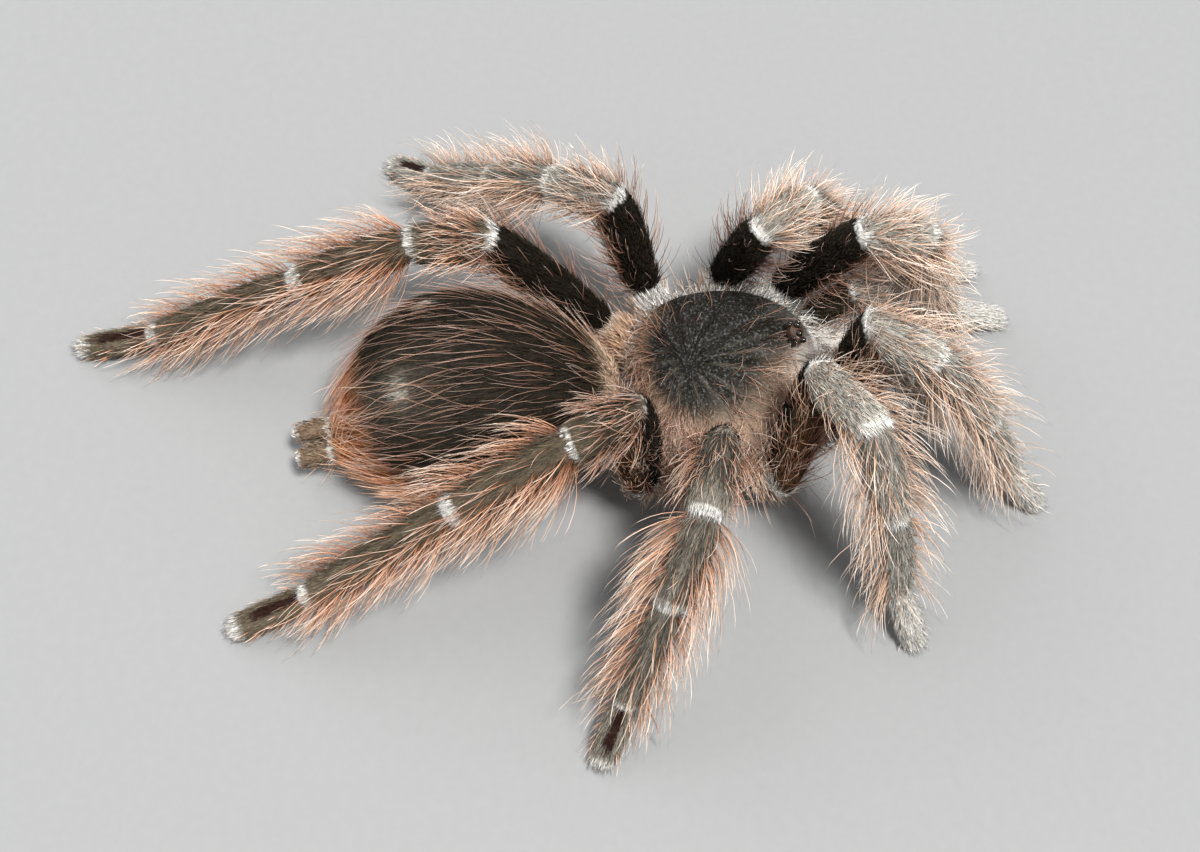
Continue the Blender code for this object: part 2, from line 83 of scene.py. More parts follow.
body = {"pitch": 7.7, "rimHeight": 10.5, "noseForward": 12.59}
shellLow, shellHigh = boxOf("carapace")
bodySide = (shellLow[0] + shellHigh[0]) / 2
bodyMiddle = shellLow[1] + body["noseForward"]


def bodyPoint(left, forward, height):
    left, forward, height = np.broadcast_arrays(left, forward, height)
    return np.stack((bodySide + left, bodyMiddle - forward, height), axis=-1).astype(float)


def onBody(left, forward, rise):  # the same in the tilted frame of the carapace
    tilt = math.radians(body["pitch"])
    along = np.asarray(forward) * math.cos(tilt) - np.asarray(rise) * math.sin(tilt)
    height = np.asarray(forward) * math.sin(tilt) + np.asarray(rise) * math.cos(tilt)
    return bodyPoint(left, along, body["rimHeight"] + height)


def turns(sides):  # even angles once round
    return 2 * np.pi * np.arange(sides) / sides


def placed(name, data):  # an object of its own for some data
    obj = bpy.data.objects.new(name, data)
    scene.collection.objects.link(obj)
    return obj


camera = {"place": (-98.6, -36.8, 195.9), "aim": (1.1, -13.7, 0.0), "lens": 54.05, "roll": 1.424,
          "sensor": 36.0, "clip": (0.001, 10.0)}


def setCamera():
    place = Vector(bodyPoint(*camera["place"])) * mm
    gaze = (Vector(bodyPoint(*camera["aim"])) * mm - place).normalized()
    level = gaze.cross(Vector((0, 0, 1))).normalized()
    level = Matrix.Rotation(-math.radians(camera["roll"]), 3, gaze) @ level
    data = bpy.data.cameras.new("camera")
    data.lens = camera["lens"]
    data.sensor_width = camera["sensor"]
    data.clip_start, data.clip_end = camera["clip"]
    eye = placed("camera", data)
    turned = Matrix((level, level.cross(gaze), -gaze)).transposed()
    eye.matrix_world = Matrix.Translation(place) @ turned.to_4x4()
    scene.camera = eye


# Each surface gives a point for a place along it (0 to 1) and an angle round it (radians; a quarter
# turn is the top), sunk by a depth. Marks are the masks that paint both skin and hair.
markNames = ("pale", "frost", "dark", "warm", "rust", "bare")


def makeMarks(place, **given):
    return {name: np.clip(np.zeros(np.shape(place)) + given.get(name, 0.0), 0.0, 1.0) for name in markNames}


@dataclass
class Surface:
    length: float
    area: float
    pointAt: object
    marksAt: object
    facesUp: bool = False  # an open shell, whose outside is its upper side

    def frameAt(self, place, angle, depth):
        step = 0.01
        before = np.clip(place - step, 0.0, 1.0)
        after = np.clip(place + step, 0.0, 1.0)
        lie = unit(self.pointAt(after, angle, depth) - self.pointAt(before, angle, depth))
        around = unit(self.pointAt(place, angle + step, depth) - self.pointAt(place, angle - step, depth))
        out = unit(np.cross(around, lie))
        root = self.pointAt(place, angle, depth)
        if self.facesUp:
            return root, lie, around, out * np.sign(out[:, 2:3])
        spine = (root + self.pointAt(place, angle + np.pi, depth)) / 2
        flip = np.sign(np.sum(out * (root - spine), axis=-1, keepdims=True))
        return root, lie, around, out * np.where(flip == 0, 1.0, flip)


legPieces = ("femur", "patella", "tibia", "metatarsus", "tarsus")
palpPieces = ("femur", "patella", "tibia", "tarsus")
coxaRoots = {  # left, forward, height for palps (0) and legs 1 to 4
    0: (5.3, 7.4, 7.0), 1: (4.5, 6.5, 7.6), 2: (6.0, 2.4, 6.8), 3: (6.0, -2.8, 6.2), 4: (4.5, -6.4, 5.8),
}
pieceShape = {  # place along the piece, share of its half width and height
    "coxa": ((0.0, 0.9), (0.6, 1.06), (0.9, 0.92), (1.0, 0.72)),
    "femur": ((0.0, 0.6), (0.1, 0.84), (0.42, 1.0), (0.72, 1.02), (0.93, 0.98), (1.0, 0.86)),
    "patella": ((0.0, 0.88), (0.08, 0.98), (0.22, 1.0), (0.42, 1.02), (0.68, 1.02), (0.92, 0.93),
                (1.0, 0.76)),
    "tibia": ((0.0, 0.76), (0.1, 0.93), (0.35, 1.02), (0.66, 1.0), (0.93, 0.92), (1.0, 0.76)),
    "metatarsus": ((0.0, 0.8), (0.08, 0.95), (0.35, 1.02), (0.68, 0.97), (0.94, 0.88), (1.0, 0.74)),
    "tarsus": ((0.0, 0.76), (0.12, 0.94), (0.45, 1.03), (0.76, 0.98), (0.93, 0.8), (1.0, 0.4)),
}
kneeHeight = {  # shares of the height where they aren't those of the width
    "femur": (0.6, 0.84, 1.0, 1.02, 0.88, 0.64),
    "patella": (0.68, 0.87, 0.96, 1.0, 1.02, 0.93, 0.76),
}
coxaHalves = {"leg": (2.4, 2.7), "palp": (1.8, 2.1)}
ringCount = 10  # corners of one ring of a packed limb piece
settleRounds = 4  # rounds of finding the joints


def ringBeside(points, others):  # the middle of a piece's ring that faces another piece
    gaps = np.linalg.norm(points[:, None] - others[None], axis=2).min(axis=1)
    return points[np.argsort(gaps)[:ringCount]].mean(axis=0)


def ringAt(points, place, normal):  # the middle of its ring nearest a plane
    return points[np.argsort(np.abs((points - place) @ normal))[:ringCount]].mean(axis=0)


class Limb:
    def __init__(self, prefix, side, pair):
        self.prefix = prefix
        self.side = side
        self.pair = pair
        self.hind = pair >= 3
        self.brownKnee = self.hind and side == "right"
        # one limb's silvering is raised above its pair's as painted light
        self.frost = frostWithPaintedLightByLimb.get((side, pair), frostByPair[pair])
        self.pieces = ("coxa",) + (legPieces if pair else palpPieces)
        corners = [nodePoints(prefix + "_" + piece) for piece in self.pieces[1:]]
        self.findJoints(corners)
        self.findSizes(corners)

    def findJoints(self, corners):
        trunk = nodePoints("sternum_and_coxae")
        outward = 1.0 if self.side == "left" else -1.0
        left, forward, height = coxaRoots[self.pair]
        joints = [bodyPoint(outward * left, forward, height)]
        joints.append(ringBeside(corners[0], trunk))
        for near, far in zip(corners, corners[1:]):
            joints.append((ringBeside(near, far) + ringBeside(far, near)) / 2)
        foot = corners[-1]
        toeward = unit(foot.mean(axis=0) - joints[-1])
        joints.append(joints[-1] + toeward * ((foot - joints[-1]) @ toeward).max())
        for _ in range(settleRounds):  # settle each joint in the plane that halves its bend
            axes = unit(np.diff(np.array(joints), axis=0))
            for i in range(2, len(joints) - 1):
                normal = unit(axes[i - 1] + axes[i])
                near, far = (ringAt(corners[j], joints[i], normal) for j in (i - 2, i - 1))
                joints[i] = (near + far) / 2
        self.joints = np.array(joints)
        self.axes = unit(np.diff(self.joints, axis=0))
        self.lengths = np.linalg.norm(np.diff(self.joints, axis=0), axis=1)
        planes = [self.axes[0]] + [unit(a + b) for a, b in zip(self.axes, self.axes[1:])] + [self.axes[-1]]
        self.planes = np.array(planes)

    def findSizes(self, corners):
        patella = self.axes[2]
        across = unit(np.array((patella[1], -patella[0], 0.0)))
        self.across = unit(across - self.axes * (self.axes @ across)[:, None])
        self.over = np.cross(self.across, self.axes)
        if self.over[2][2] < 0:
            self.across = -self.across
            self.over = -self.over
        halves = [coxaHalves["leg" if self.pair else "palp"]]
        for i, points in enumerate(corners, start=1):
            offsets = points - self.joints[i]
            rises = offsets @ self.over[i]  # a knee's crest is hair alone, and a sole is cut flat
            high = rises.max() if self.pieces[i] == "tarsus" else -rises.min()
            halves.append((np.abs(offsets @ self.across[i]).max(), high))
        self.halves = np.array(halves)

    def ringOffset(self, index, angle, wideShare, highShare, depth):
        wide, high = self.halves[index] - depth
        offset = self.across[index] * (wide * wideShare * np.cos(angle))[..., None]
        return offset + self.over[index] * (high * highShare * np.sin(angle))[..., None]

    def pointAt(self, index, place, angle, depth):
        places, wideShares = zip(*pieceShape[self.pieces[index]])
        highShares = kneeHeight.get(self.pieces[index], wideShares)
        axis = self.axes[index]
        ends = []
        for end in (0, -1):  # each end lies in the plane of its joint
            plane = self.planes[index - end]
            rim = self.ringOffset(index, angle, wideShares[end], highShares[end], depth)
            ends.append(-(rim @ plane) / (axis @ plane))
        along = ends[0] + (self.lengths[index] + ends[1] - ends[0]) * place
        offset = self.ringOffset(index, angle, np.interp(place, places, wideShares),
                                 np.interp(place, places, highShares), depth)
        return self.joints[index] + axis * along[..., None] + offset

    def surface(self, index):
        girth = math.pi * self.halves[index].sum()
        return Surface(self.lengths[index], self.lengths[index] * girth,
                       lambda place, angle, depth: self.pointAt(index, place, angle, depth),
                       lambda place, angle: limbMarks(self, self.pieces[index], place, angle))


# Silvering of palps (0) and legs 1 to 4; one limb paler than its pair, which is painted light where the lamp
# falls more strongly on it;
# where the white bands start and are full, and the two dark stripes, as turns from the top and width.
frostByPair = {0: 0.85, 1: 1.0, 2: 0.95, 3: 0.4, 4: 0.08}
frostWithPaintedLightByLimb = {("left", 3): 0.85}
bands = {"patella": (0.9, 0.93), "tibia": (0.9, 0.93), "metatarsus": (0.94, 0.965)}
stripe = {"turn": 0.42, "width": 0.2, "hind": 0.5, "front": 0.25}


def coxaMarks(limb, place, angle):
    dorsal = np.sin(angle)
    white = smooth(dorsal, 0.1, 0.6) if limb.side == "left" and limb.pair in (1, 2, 3) else 0.0
    brush = 0.75 * smooth(place, 0.8, 0.95) * smooth(dorsal, -0.6, 0.2)
    return makeMarks(place, warm=1.0 - 0.4 * smooth(-dorsal, 0.2, 0.9), rust=0.3 * hump(place, 0.45, 0.2),
                     pale=np.maximum(white, brush))


def femurMarks(limb, place, angle):  # black above, browner below, pale hairs at both ends
    dorsal = np.sin(angle)
    root = 0.8 * (1.0 - smooth(place, 0.04, 0.1)) * smooth(-dorsal, -0.3, 0.3)
    knee = 0.0 if limb.brownKnee else 0.85 * smooth(place, 0.97, 0.985) * smooth(dorsal, 0.0, 0.5)
    black = 1.0 if limb.pair else 0.7
    return makeMarks(place, dark=black * (1.0 - 0.4 * smooth(-dorsal, -0.15, 0.25)),
                     rust=0.45 * smooth(-dorsal, 0.0, 0.9), warm=0.8 * (1.0 - smooth(place, 0.05, 0.14)),
                     pale=np.maximum(root, knee))


def tarsusMarks(limb, place, angle):  # the tip is pale, and hind feet have a bare strip on top
    dorsal = np.sin(angle)
    bare = smooth(dorsal, 0.86, 0.95) * (1.0 - smooth(place, 0.6, 0.72)) if limb.hind else 0.0
    tip = smooth(place, 0.8, 0.87) * smooth(dorsal, -0.8, -0.3)
    pale = np.maximum(tip, 0.0 if limb.hind else 0.45)
    return makeMarks(place, frost=limb.frost * 0.9, pale=pale, bare=bare)


def shinMarks(limb, piece, place, angle):  # patella, tibia and metatarsus
    dorsal = np.sin(angle)
    band = smooth(place, *bands[piece]) * smooth(dorsal, -0.55, 0.1)
    if piece == "metatarsus":
        band = 0.8 * band
    turn, width = stripe["turn"], stripe["width"]
    stripes = hump(angle, np.pi / 2 - turn, width) + hump(angle, np.pi / 2 + turn, width)
    dark = stripe["hind" if limb.hind else "front"] * stripes * (1.0 - smooth(place, 0.7, 0.85))
    warm = 0.0
    if piece == "patella":
        knee = (1.0 - smooth(place, 0.01, 0.05)) * smooth(dorsal, 0.1, 0.7)
        if limb.brownKnee:
            dark = np.maximum(dark, 0.6 * (1.0 - smooth(place, 0.5, 0.8)))
            warm = 0.9 * knee
        band = np.maximum(band, knee * (0.25 if limb.brownKnee else 1.0))
    return makeMarks(place, frost=limb.frost * (0.7 + 0.3 * place), pale=band, dark=dark, warm=warm)


def limbMarks(limb, piece, place, angle):
    if piece in bands:
        return shinMarks(limb, piece, place, angle)
    paint = {"coxa": coxaMarks, "femur": femurMarks, "tarsus": tarsusMarks}[piece]
    return paint(limb, place, angle)


limbs = []
for limbSide in ("left", "right"):
    for limbPair in range(5):
        prefix = "leg_" + limbSide + "_" + str(limbPair) if limbPair else "palp_" + limbSide
        limbs.append(Limb(prefix, limbSide, limbPair))
print("limbs found:", len(limbs))


abdomen = {"length": 33.0, "girth": 68.0, "endRadius": 3.0, "endHeights": (7.0, 6.0), "offset": 0.6,
           "swing": 2.6, "widestShift": 1.3, "widthFullness": 0.54, "topFullness": 0.45,
           "bottomFullness": 0.8}
abdomenLow, abdomenHigh = boxOf("abdomen")


def abdomenPoint(place, angle, depth):
    place = np.clip(place, 0.0, 1.0)
    wide = np.sin(np.pi * place ** abdomen["widestShift"]).clip(0.0) ** abdomen["widthFullness"]
    high = np.sin(np.pi * place).clip(0.0) ** abdomen["topFullness"]
    low = np.sin(np.pi * place).clip(0.0) ** abdomen["bottomFullness"]
    radius = abdomen["endRadius"]
    halfWidth = radius + ((abdomenHigh[0] - abdomenLow[0]) / 2 - radius) * wide - depth
    endHeight = abdomen["endHeights"][0] + (abdomen["endHeights"][1] - abdomen["endHeights"][0]) * place
    top = endHeight + radius
    top = top + (abdomenHigh[2] - top) * high - depth
    bottom = endHeight - radius
    bottom = bottom + (abdomenLow[2] - bottom) * low + depth
    left = bodySide + abdomen["offset"] + abdomen["swing"] * place + halfWidth * np.cos(angle)
    along = abdomenLow[1] + (abdomenHigh[1] - abdomenLow[1]) * place + depth * (1.0 - 2.0 * place)
    height = (top + bottom) / 2 + (top - bottom) / 2 * np.sin(angle)
    return np.stack(np.broadcast_arrays(left, along, height), axis=-1)


def abdomenMarks(place, angle):  # black on top, rusty flanks and rear, a pale tuft and a spot
    rise = np.sin(angle)
    farSide = smooth(np.cos(angle), -0.1, 0.3)
    flank = 1.0 - smooth(rise + 0.45 * farSide, -0.2, 0.45)
    rear = smooth(place - 0.05 * rise, 0.84, 0.95)
    front = 1.0 - smooth(place, 0.03, 0.12)
    tuft = hump(place, 0.8, 0.035) * hump(angle, 1.85, 0.2)
    grizzle = 0.22 * smooth(place, 0.45, 0.8) * hump(angle, 1.9, 0.6)
    spot = hump(place, 0.64, 0.022) * hump(angle, 0.82, 0.07)
    hollow = hump(place, 0.87, 0.035) * hump(angle, 1.45, 0.42)
    rust = np.maximum(np.maximum(0.9 * flank, rear), spot) * (1.0 - hollow)
    black = (0.95 - flank - rear - front).clip(0.0) * (1.0 - tuft - grizzle - spot)
    return makeMarks(place, rust=rust, warm=0.6 * front, dark=np.maximum(black, hollow),
                     frost=np.maximum(0.75 * tuft, grizzle), pale=0.6 * spot)


def tubePoint(start, end, halves, shape):
    axis = unit(end - start)
    sideways = unit(np.array((1.0, 0.0, 0.0)) - axis * axis[0])
    over = np.cross(sideways, axis)
    over = over * math.copysign(1.0, over[2])
    places, shares = zip(*shape)

    def pointAt(place, angle, depth):
        share = np.interp(place, places, shares)
        offset = sideways * ((halves[0] - depth) * np.cos(angle) * share)[..., None]
        offset = offset + over * ((halves[1] - depth) * np.sin(angle) * share)[..., None]
        return start + (end - start) * np.asarray(place)[..., None] + offset
    return pointAt


# Each tube has the length and girth that its hairs are counted from, its half width and height, its two
# ends, and its shape as places along it and shares of its size.
sternum = {"length": 18.8, "girth": 32.0, "half": (7.0, 3.0),
           "ends": (onBody(0, 9.4, -4.4), onBody(0, -9.4, -4.4)),
           "shape": ((0.0, 0.3), (0.1, 0.6), (0.3, 0.92), (0.5, 1.0), (0.7, 0.92), (0.9, 0.6), (1.0, 0.3))}
pedicel = {"length": 5.5, "girth": 9.0, "half": (1.5, 1.5), "shape": ((0.0, 1.0), (0.5, 0.8), (1.0, 1.0)),
           "ends": (bodyPoint(0, -7.0, 6.3), bodyPoint(0.6, -12.5, 6.8))}
jaw = {"length": 8.0, "girth": 17.0, "half": (2.2, 3.4), "side": 2.45, "root": (11.0, 8.2),
       "tip": (19.0, 6.4),
       "shape": ((0.0, 0.86), (0.12, 0.98), (0.42, 1.0), (0.7, 0.93), (0.9, 0.76), (1.0, 0.5))}
spinneret = {"length": 8.0, "girth": 9.0, "half": (1.6, 1.6), "joint": 0.4,
             "left": (bodyPoint(4.0, -42.6, 6.5), bodyPoint(5.0, -50.1, 4.4)),
             "right": (bodyPoint(0.9, -42.6, 6.0), bodyPoint(1.9, -50.3, 4.0)),
             "shape": ((0.0, 0.95), (0.36, 1.0), (0.41, 0.84), (0.5, 1.0), (0.86, 0.96), (0.96, 0.75),
                       (1.0, 0.45))}


def sternumMarks(place, angle):
    return makeMarks(place, dark=0.6, warm=0.5)


def pedicelMarks(place, angle):
    return makeMarks(place, dark=0.7, warm=0.4)


def jawMarks(place, angle):  # silvery on top
    rise = np.sin(angle)
    return makeMarks(place, frost=0.85 * smooth(rise, -0.3, 0.6), warm=0.25,
                     pale=0.7 * smooth(rise, -0.1, 0.6))


def spinneretMarks(place, angle):  # rusty at the root, then pale rings at the joint and the tip
    rings = 0.9 * hump(place, spinneret["joint"] + 0.03, 0.03) + smooth(place, 0.92, 0.98)
    return makeMarks(place, rust=1.0 - smooth(place, 0.3, 0.38), warm=0.25, pale=rings)


def trunkSurface(piece, pointAt, marksAt):
    return Surface(piece["length"], piece["length"] * piece["girth"], pointAt, marksAt)


def tubeSurface(tube, ends, marksAt):
    return trunkSurface(tube, tubePoint(*ends, tube["half"], tube["shape"]), marksAt)


def makeTrunk():
    surfaces = {"abdomen": trunkSurface(abdomen, abdomenPoint, abdomenMarks),
                "sternum": tubeSurface(sternum, sternum["ends"], sternumMarks),
                "pedicel": tubeSurface(pedicel, pedicel["ends"], pedicelMarks)}
    for side, outward in (("left", 1.0), ("right", -1.0)):
        ends = [bodyPoint(outward * jaw["side"], *jaw[end]) for end in ("root", "tip")]
        surfaces["jaw_" + side] = tubeSurface(jaw, ends, jawMarks)
        surfaces["spinneret_" + side] = tubeSurface(spinneret, spinneret[side], spinneretMarks)
    return surfaces


trunkSurfaces = makeTrunk()


def newMesh(name, places, faces, smoothShaded=True):
    mesh = bpy.data.meshes.new(name)
    mesh.from_pydata((np.asarray(places) * mm).tolist(), [], faces)
    mesh.update()
    if smoothShaded:
        mesh.shade_smooth()
    return placed(name, mesh)


def loftFaces(rings, sides, offset=0):
    faces = []
    for ring in range(rings - 1):
        base = offset + ring * sides
        for i in range(sides):
            j = (i + 1) % sides
            faces.append((base + i, base + j, base + sides + j, base + sides + i))
    faces.append(tuple(range(offset + sides - 1, offset - 1, -1)))
    faces.append(tuple(range(offset + (rings - 1) * sides, offset + rings * sides)))
    return faces


def lofted(surface, rings, sides, depth, ends):
    place, angle = np.meshgrid(np.linspace(*ends, rings), turns(sides), indexing="ij")
    points = surface.pointAt(place, angle, depth).reshape(-1, 3)
    return points, surface.marksAt(place.ravel(), angle.ravel())


floorGap = 0.05  # skin and hair end this far above the floor
skin = {"voxel": 0.42, "smoothing": 4, "ringStep": 0.45, "fewestRings": 8,
        "limb": {"sides": 24, "depth": 0.45, "ends": (-0.02, 1.02)},
        "abdomen": {"sides": 72, "depth": 0.55, "ends": (0.0, 1.0)}}


def makeSkin():
    surfaces = [limb.surface(i) for limb in limbs for i in range(len(limb.pieces))]
    places, faces, marks = [], [], []
    count = 0
    for surface in surfaces + list(trunkSurfaces.values()):
        build = skin["abdomen" if surface is trunkSurfaces["abdomen"] else "limb"]
        rings = max(skin["fewestRings"], int(surface.length / skin["ringStep"]))
        points, painted = lofted(surface, rings, **build)
        faces += loftFaces(rings, build["sides"], count)
        places.append(points)
        marks.append(painted)
        count += len(points)
    places = np.concatenate(places)
    rough = newMesh("skinRough", places, faces)
    remesh = rough.modifiers.new("remesh", "REMESH")
    remesh.mode = "VOXEL"
    remesh.voxel_size = skin["voxel"] * mm
    relax = rough.modifiers.new("relax", "SMOOTH")
    relax.factor = 0.5
    relax.iterations = skin["smoothing"]
    bpy.context.view_layer.update()
    mesh = bpy.data.meshes.new_from_object(rough.evaluated_get(bpy.context.evaluated_depsgraph_get()))
    bpy.data.objects.remove(rough, do_unlink=True)
    mesh.name = "skin"
    points = vertexPlaces(mesh)
    points[:, 2] = np.maximum(points[:, 2], floorGap)
    mesh.vertices.foreach_set("co", (points * mm).ravel())
    mesh.shade_smooth()
    paintFrom(mesh, places, marks)
    return placed("skin", mesh)


def setMarks(mesh, marks):
    for name, values in marks.items():
        layer = mesh.attributes.new(name, "FLOAT", "POINT")
        layer.data.foreach_set("value", np.asarray(values, np.float32))


def paintFrom(mesh, places, marks):  # each point of a mesh takes the nearest sample's marks
    tree = KDTree(len(places))
    for i, place in enumerate(places):
        tree.insert(place, i)
    tree.balance()
    nearest = np.array([tree.find(place)[1] for place in vertexPlaces(mesh)])
    joint = {name: np.concatenate([painted[name] for painted in marks]) for name in markNames}
    setMarks(mesh, {name: values[nearest] for name, values in joint.items()})


# The carapace: outline powers ahead and aside, narrowing to the front, height, middle, length and width of
# the head's rise, the pit in the middle with its grooves (degrees), and the hem's rings as reach and drop.
shell = {"length": 22.8, "width": 22.4, "forward": 1.3, "outline": (0.86, 0.92), "narrowing": (0.13, 0.05),
         "notch": 0.5, "dome": 5.2, "domePowers": (2.6, 0.62), "caput": (1.3, 6.5, 5.0, 4.6), "caputPower": 6,
         "fovea": -3.2, "foveaDepth": 1.3, "foveaWidth": 0.12, "grooveDepth": 0.55, "grooveWidth": 8.0,
         "grooves": (34.0, 79.0, 113.0, 146.0), "hem": ((0.995, 0.35), (0.97, 0.8), (0.88, 1.0)),
         "steps": 144, "rings": 44, "start": 0.02, "depth": 0.25}


def shellPoint(reach, angle, depth):
    ahead, aside = np.cos(angle), np.sin(angle)
    forward = np.sign(ahead) * np.abs(ahead) ** shell["outline"][0]
    sideways = np.sign(aside) * np.abs(aside) ** shell["outline"][1]
    even, curved = shell["narrowing"]
    narrowing = 1.0 - even * forward - curved * forward * np.abs(forward)
    notch = shell["notch"] * np.maximum(0.0, -ahead) ** 12
    left = reach * (shell["width"] / 2 - depth) * sideways * narrowing
    rimForward = shell["forward"] + (shell["length"] / 2 - depth) * forward + notch
    along = shell["fovea"] + reach * (rimForward - shell["fovea"])
    steepness, fullness = shell["domePowers"]
    dome = shell["dome"] * np.clip(1.0 - reach ** steepness, 0.0, 1.0) ** fullness
    height, middle, length, width = shell["caput"]
    caput = height * np.exp(-((along - middle) / length) ** 2 - (left / width) ** 2)
    caput = caput * (1.0 - reach ** shell["caputPower"])
    pit = shell["foveaDepth"] * hump(reach, 0.0, shell["foveaWidth"])
    turned = np.abs((np.degrees(angle) + 180.0) % 360.0 - 180.0)
    groove = sum(hump(turned, place, shell["grooveWidth"]) for place in shell["grooves"])
    groove = shell["grooveDepth"] * groove * np.sin(np.pi * np.minimum(reach, 1.0))
    return onBody(left, along, dome + caput - pit - groove - depth)


def shellMarks(reach, angle):  # brown near slope and rear, white far edge, silvery face, and radial streaks of painted sheen
    ahead, left = np.cos(angle), np.sin(angle)
    slope = smooth(reach, 0.4, 0.85) * smooth(-left, -0.1, 0.6)
    back = smooth(reach, 0.5, 0.85) * smooth(-ahead, 0.3, 0.8)
    farEdge = smooth(reach, 0.9, 0.96) * smooth(left, 0.1, 0.5)
    face = smooth(ahead, 0.6, 0.9) * smooth(reach, 0.66, 0.86) * (0.15 + 0.85 * smooth(-left, -0.2, 0.15))
    lip = hump(reach, 0.955, 0.03) * smooth(ahead, 0.0, 0.5)
    # the pale radial streaks are painted sheen on the hair that lies in rays from the pit, stronger on the
    # near side
    sheenRays = smooth(np.sin(15 * angle + 1.6 * np.sin(4 * angle)), 0.3, 0.95) * smooth(reach, 0.1, 0.25)
    sheenRays = sheenRays * (1.0 - smooth(reach, 0.45, 0.75)) * (0.2 + 0.8 * smooth(-left, -0.4, 0.3))
    fade = np.maximum(np.maximum(slope, back), np.maximum(face, farEdge))
    return makeMarks(reach, dark=1.0 - 0.95 * np.maximum(fade, 0.3 * sheenRays), warm=0.85 * slope + 0.5 * back,
                     frost=0.85 * face + 0.5 * hump(reach, 0.03, 0.08) + 0.35 * sheenRays,
                     pale=np.maximum(np.maximum(farEdge, lip), 0.35 * face))


def makeShell():
    sides, depth = shell["steps"], shell["depth"]
    angle = turns(sides)
    rings = [shellPoint(np.full(sides, reach), angle, depth) for reach in shellReaches(shell["rings"])]
    rim = shellPoint(np.full(sides, 1.0), angle, depth)
    centre = rim.mean(axis=0)
    rings += [centre + (rim - centre) * inward - up * drop for inward, drop in shell["hem"]]
    obj = newMesh("carapaceShell", np.concatenate(rings), loftFaces(len(rings), sides))
    setMarks(obj.data, shellMarks(np.repeat(shellReaches(len(rings)), sides), np.tile(angle, len(rings))))
    return obj


def shellReaches(count):  # rings lie closer together towards the rim
    return np.sin(np.linspace(shell["start"], np.pi / 2, count))


shellArea = math.pi * shell["length"] * shell["width"] / 4
shellSurface = Surface(shell["length"] / 2, shellArea, shellPoint, shellMarks, facesUp=True)


# The lenses of one side: left, forward and rise from the mound's middle, and radius.
lenses = ((0.62, 0.25, 0.98, 0.36), (1.34, 0.62, 0.42, 0.32), (1.02, -0.62, 0.72, 0.22),
          (1.50, -0.38, 0.40, 0.27))
eyes = {"forward": 9.7, "rise": 4.75, "half": (1.45, 0.95, 0.95), "swell": 1.15, "spread": 0.9, "pole": 0.04}


def ball(centre, halves, sides=20, rings=13):
    tilt = np.linspace(eyes["pole"], np.pi - eyes["pole"], rings)
    tilt, angle = np.meshgrid(tilt, turns(sides), indexing="ij")
    shape = np.stack((np.sin(tilt) * np.cos(angle), np.sin(tilt) * np.sin(angle), np.cos(tilt)), axis=-1)
    return centre + shape.reshape(-1, 3) * np.array(halves), loftFaces(rings, sides)


def joined(name, shapes):
    places, faces = [], []
    count = 0
    for points, shapeFaces in shapes:
        faces += [tuple(i + count for i in face) for face in shapeFaces]
        places.append(points)
        count += len(points)
    return newMesh(name, np.concatenate(places), faces)


def makeEyes():
    middle = onBody(0.0, eyes["forward"], eyes["rise"])
    mound = joined("eyeMound", [ball(middle, eyes["half"], 40, 25)])
    pieces = []
    for name, outward in (("eyesLeft", 1.0), ("eyesRight", -1.0)):
        beads = [ball(middle + np.array((outward * left, -forward, rise)) * eyes["spread"],
                      (radius * eyes["swell"],) * 3) for left, forward, rise, radius in lenses]
        pieces.append(joined(name, beads))
    return [mound] + pieces


# Both are bent cones: how far they turn (degrees), their thickness, and how it falls off to the tip.
fang = {"middle": (2.45, 17.2, 4.0), "reach": 2.9, "flatness": 0.8, "turn": (-25.0, 165.0), "radius": 0.7,
        "taper": (0.8, 1.4), "steps": 24, "sides": 16}
claw = {"root": (0.7, 0.35, 0.55), "length": 1.0, "spread": 0.42, "lowest": 0.12, "turn": (-25.0, 70.0),
        "radius": 0.15, "taper": (0.85, 1.0), "steps": 9, "sides": 8}


def turnOf(horn):
    return np.radians(np.linspace(*horn["turn"], horn["steps"]))


def bentCone(spine, horn):
    loss, power = horn["taper"]
    radii = horn["radius"] * (1.0 - loss * np.linspace(0, 1, horn["steps"]) ** power)
    axes = unit(np.gradient(spine, axis=0))
    sideways = unit(np.cross(axes, np.roll(axes[0], 1)))
    over = np.cross(axes, sideways)
    angle = turns(horn["sides"])[:, None]
    rings = [centre + (across * np.cos(angle) + above * np.sin(angle)) * radius
             for centre, across, above, radius in zip(spine, sideways, over, radii)]
    return np.concatenate(rings), loftFaces(len(rings), horn["sides"])


def makeFang(name, outward):
    left, forward, height = fang["middle"]
    turn = turnOf(fang)
    bend = np.stack((0 * turn, -np.cos(turn), -np.sin(turn) * fang["flatness"]), axis=-1)
    spine = bodyPoint(outward * left, forward, height) + fang["reach"] * bend
    return joined(name, [bentCone(spine, fang)])


def makeClaws():  # two under each foot's tip, curving down
    inward, back, lift = claw["root"]
    spread, turn = claw["spread"], turnOf(claw)
    reach = np.cumsum(np.cos(turn)) * claw["length"] / claw["steps"]
    fall = np.cumsum(np.sin(turn)) * claw["length"] / claw["steps"]
    cones = []
    for limb in limbs:
        if not limb.pair:
            continue
        toe, axis, across = limb.joints[-1], limb.axes[-1], limb.across[-1]
        level = unit(axis * (1, 1, 0))
        for outward in (-1.0, 1.0):
            root = toe + across * outward * spread * inward - level * back + up * lift
            spine = root + level * reach[:, None] + across * (outward * spread * reach)[:, None]
            spine = spine - up * fall[:, None]
            spine[:, 2] = np.maximum(spine[:, 2], claw["lowest"])
            cones.append(bentCone(spine, claw))
    return joined("claws", cones)


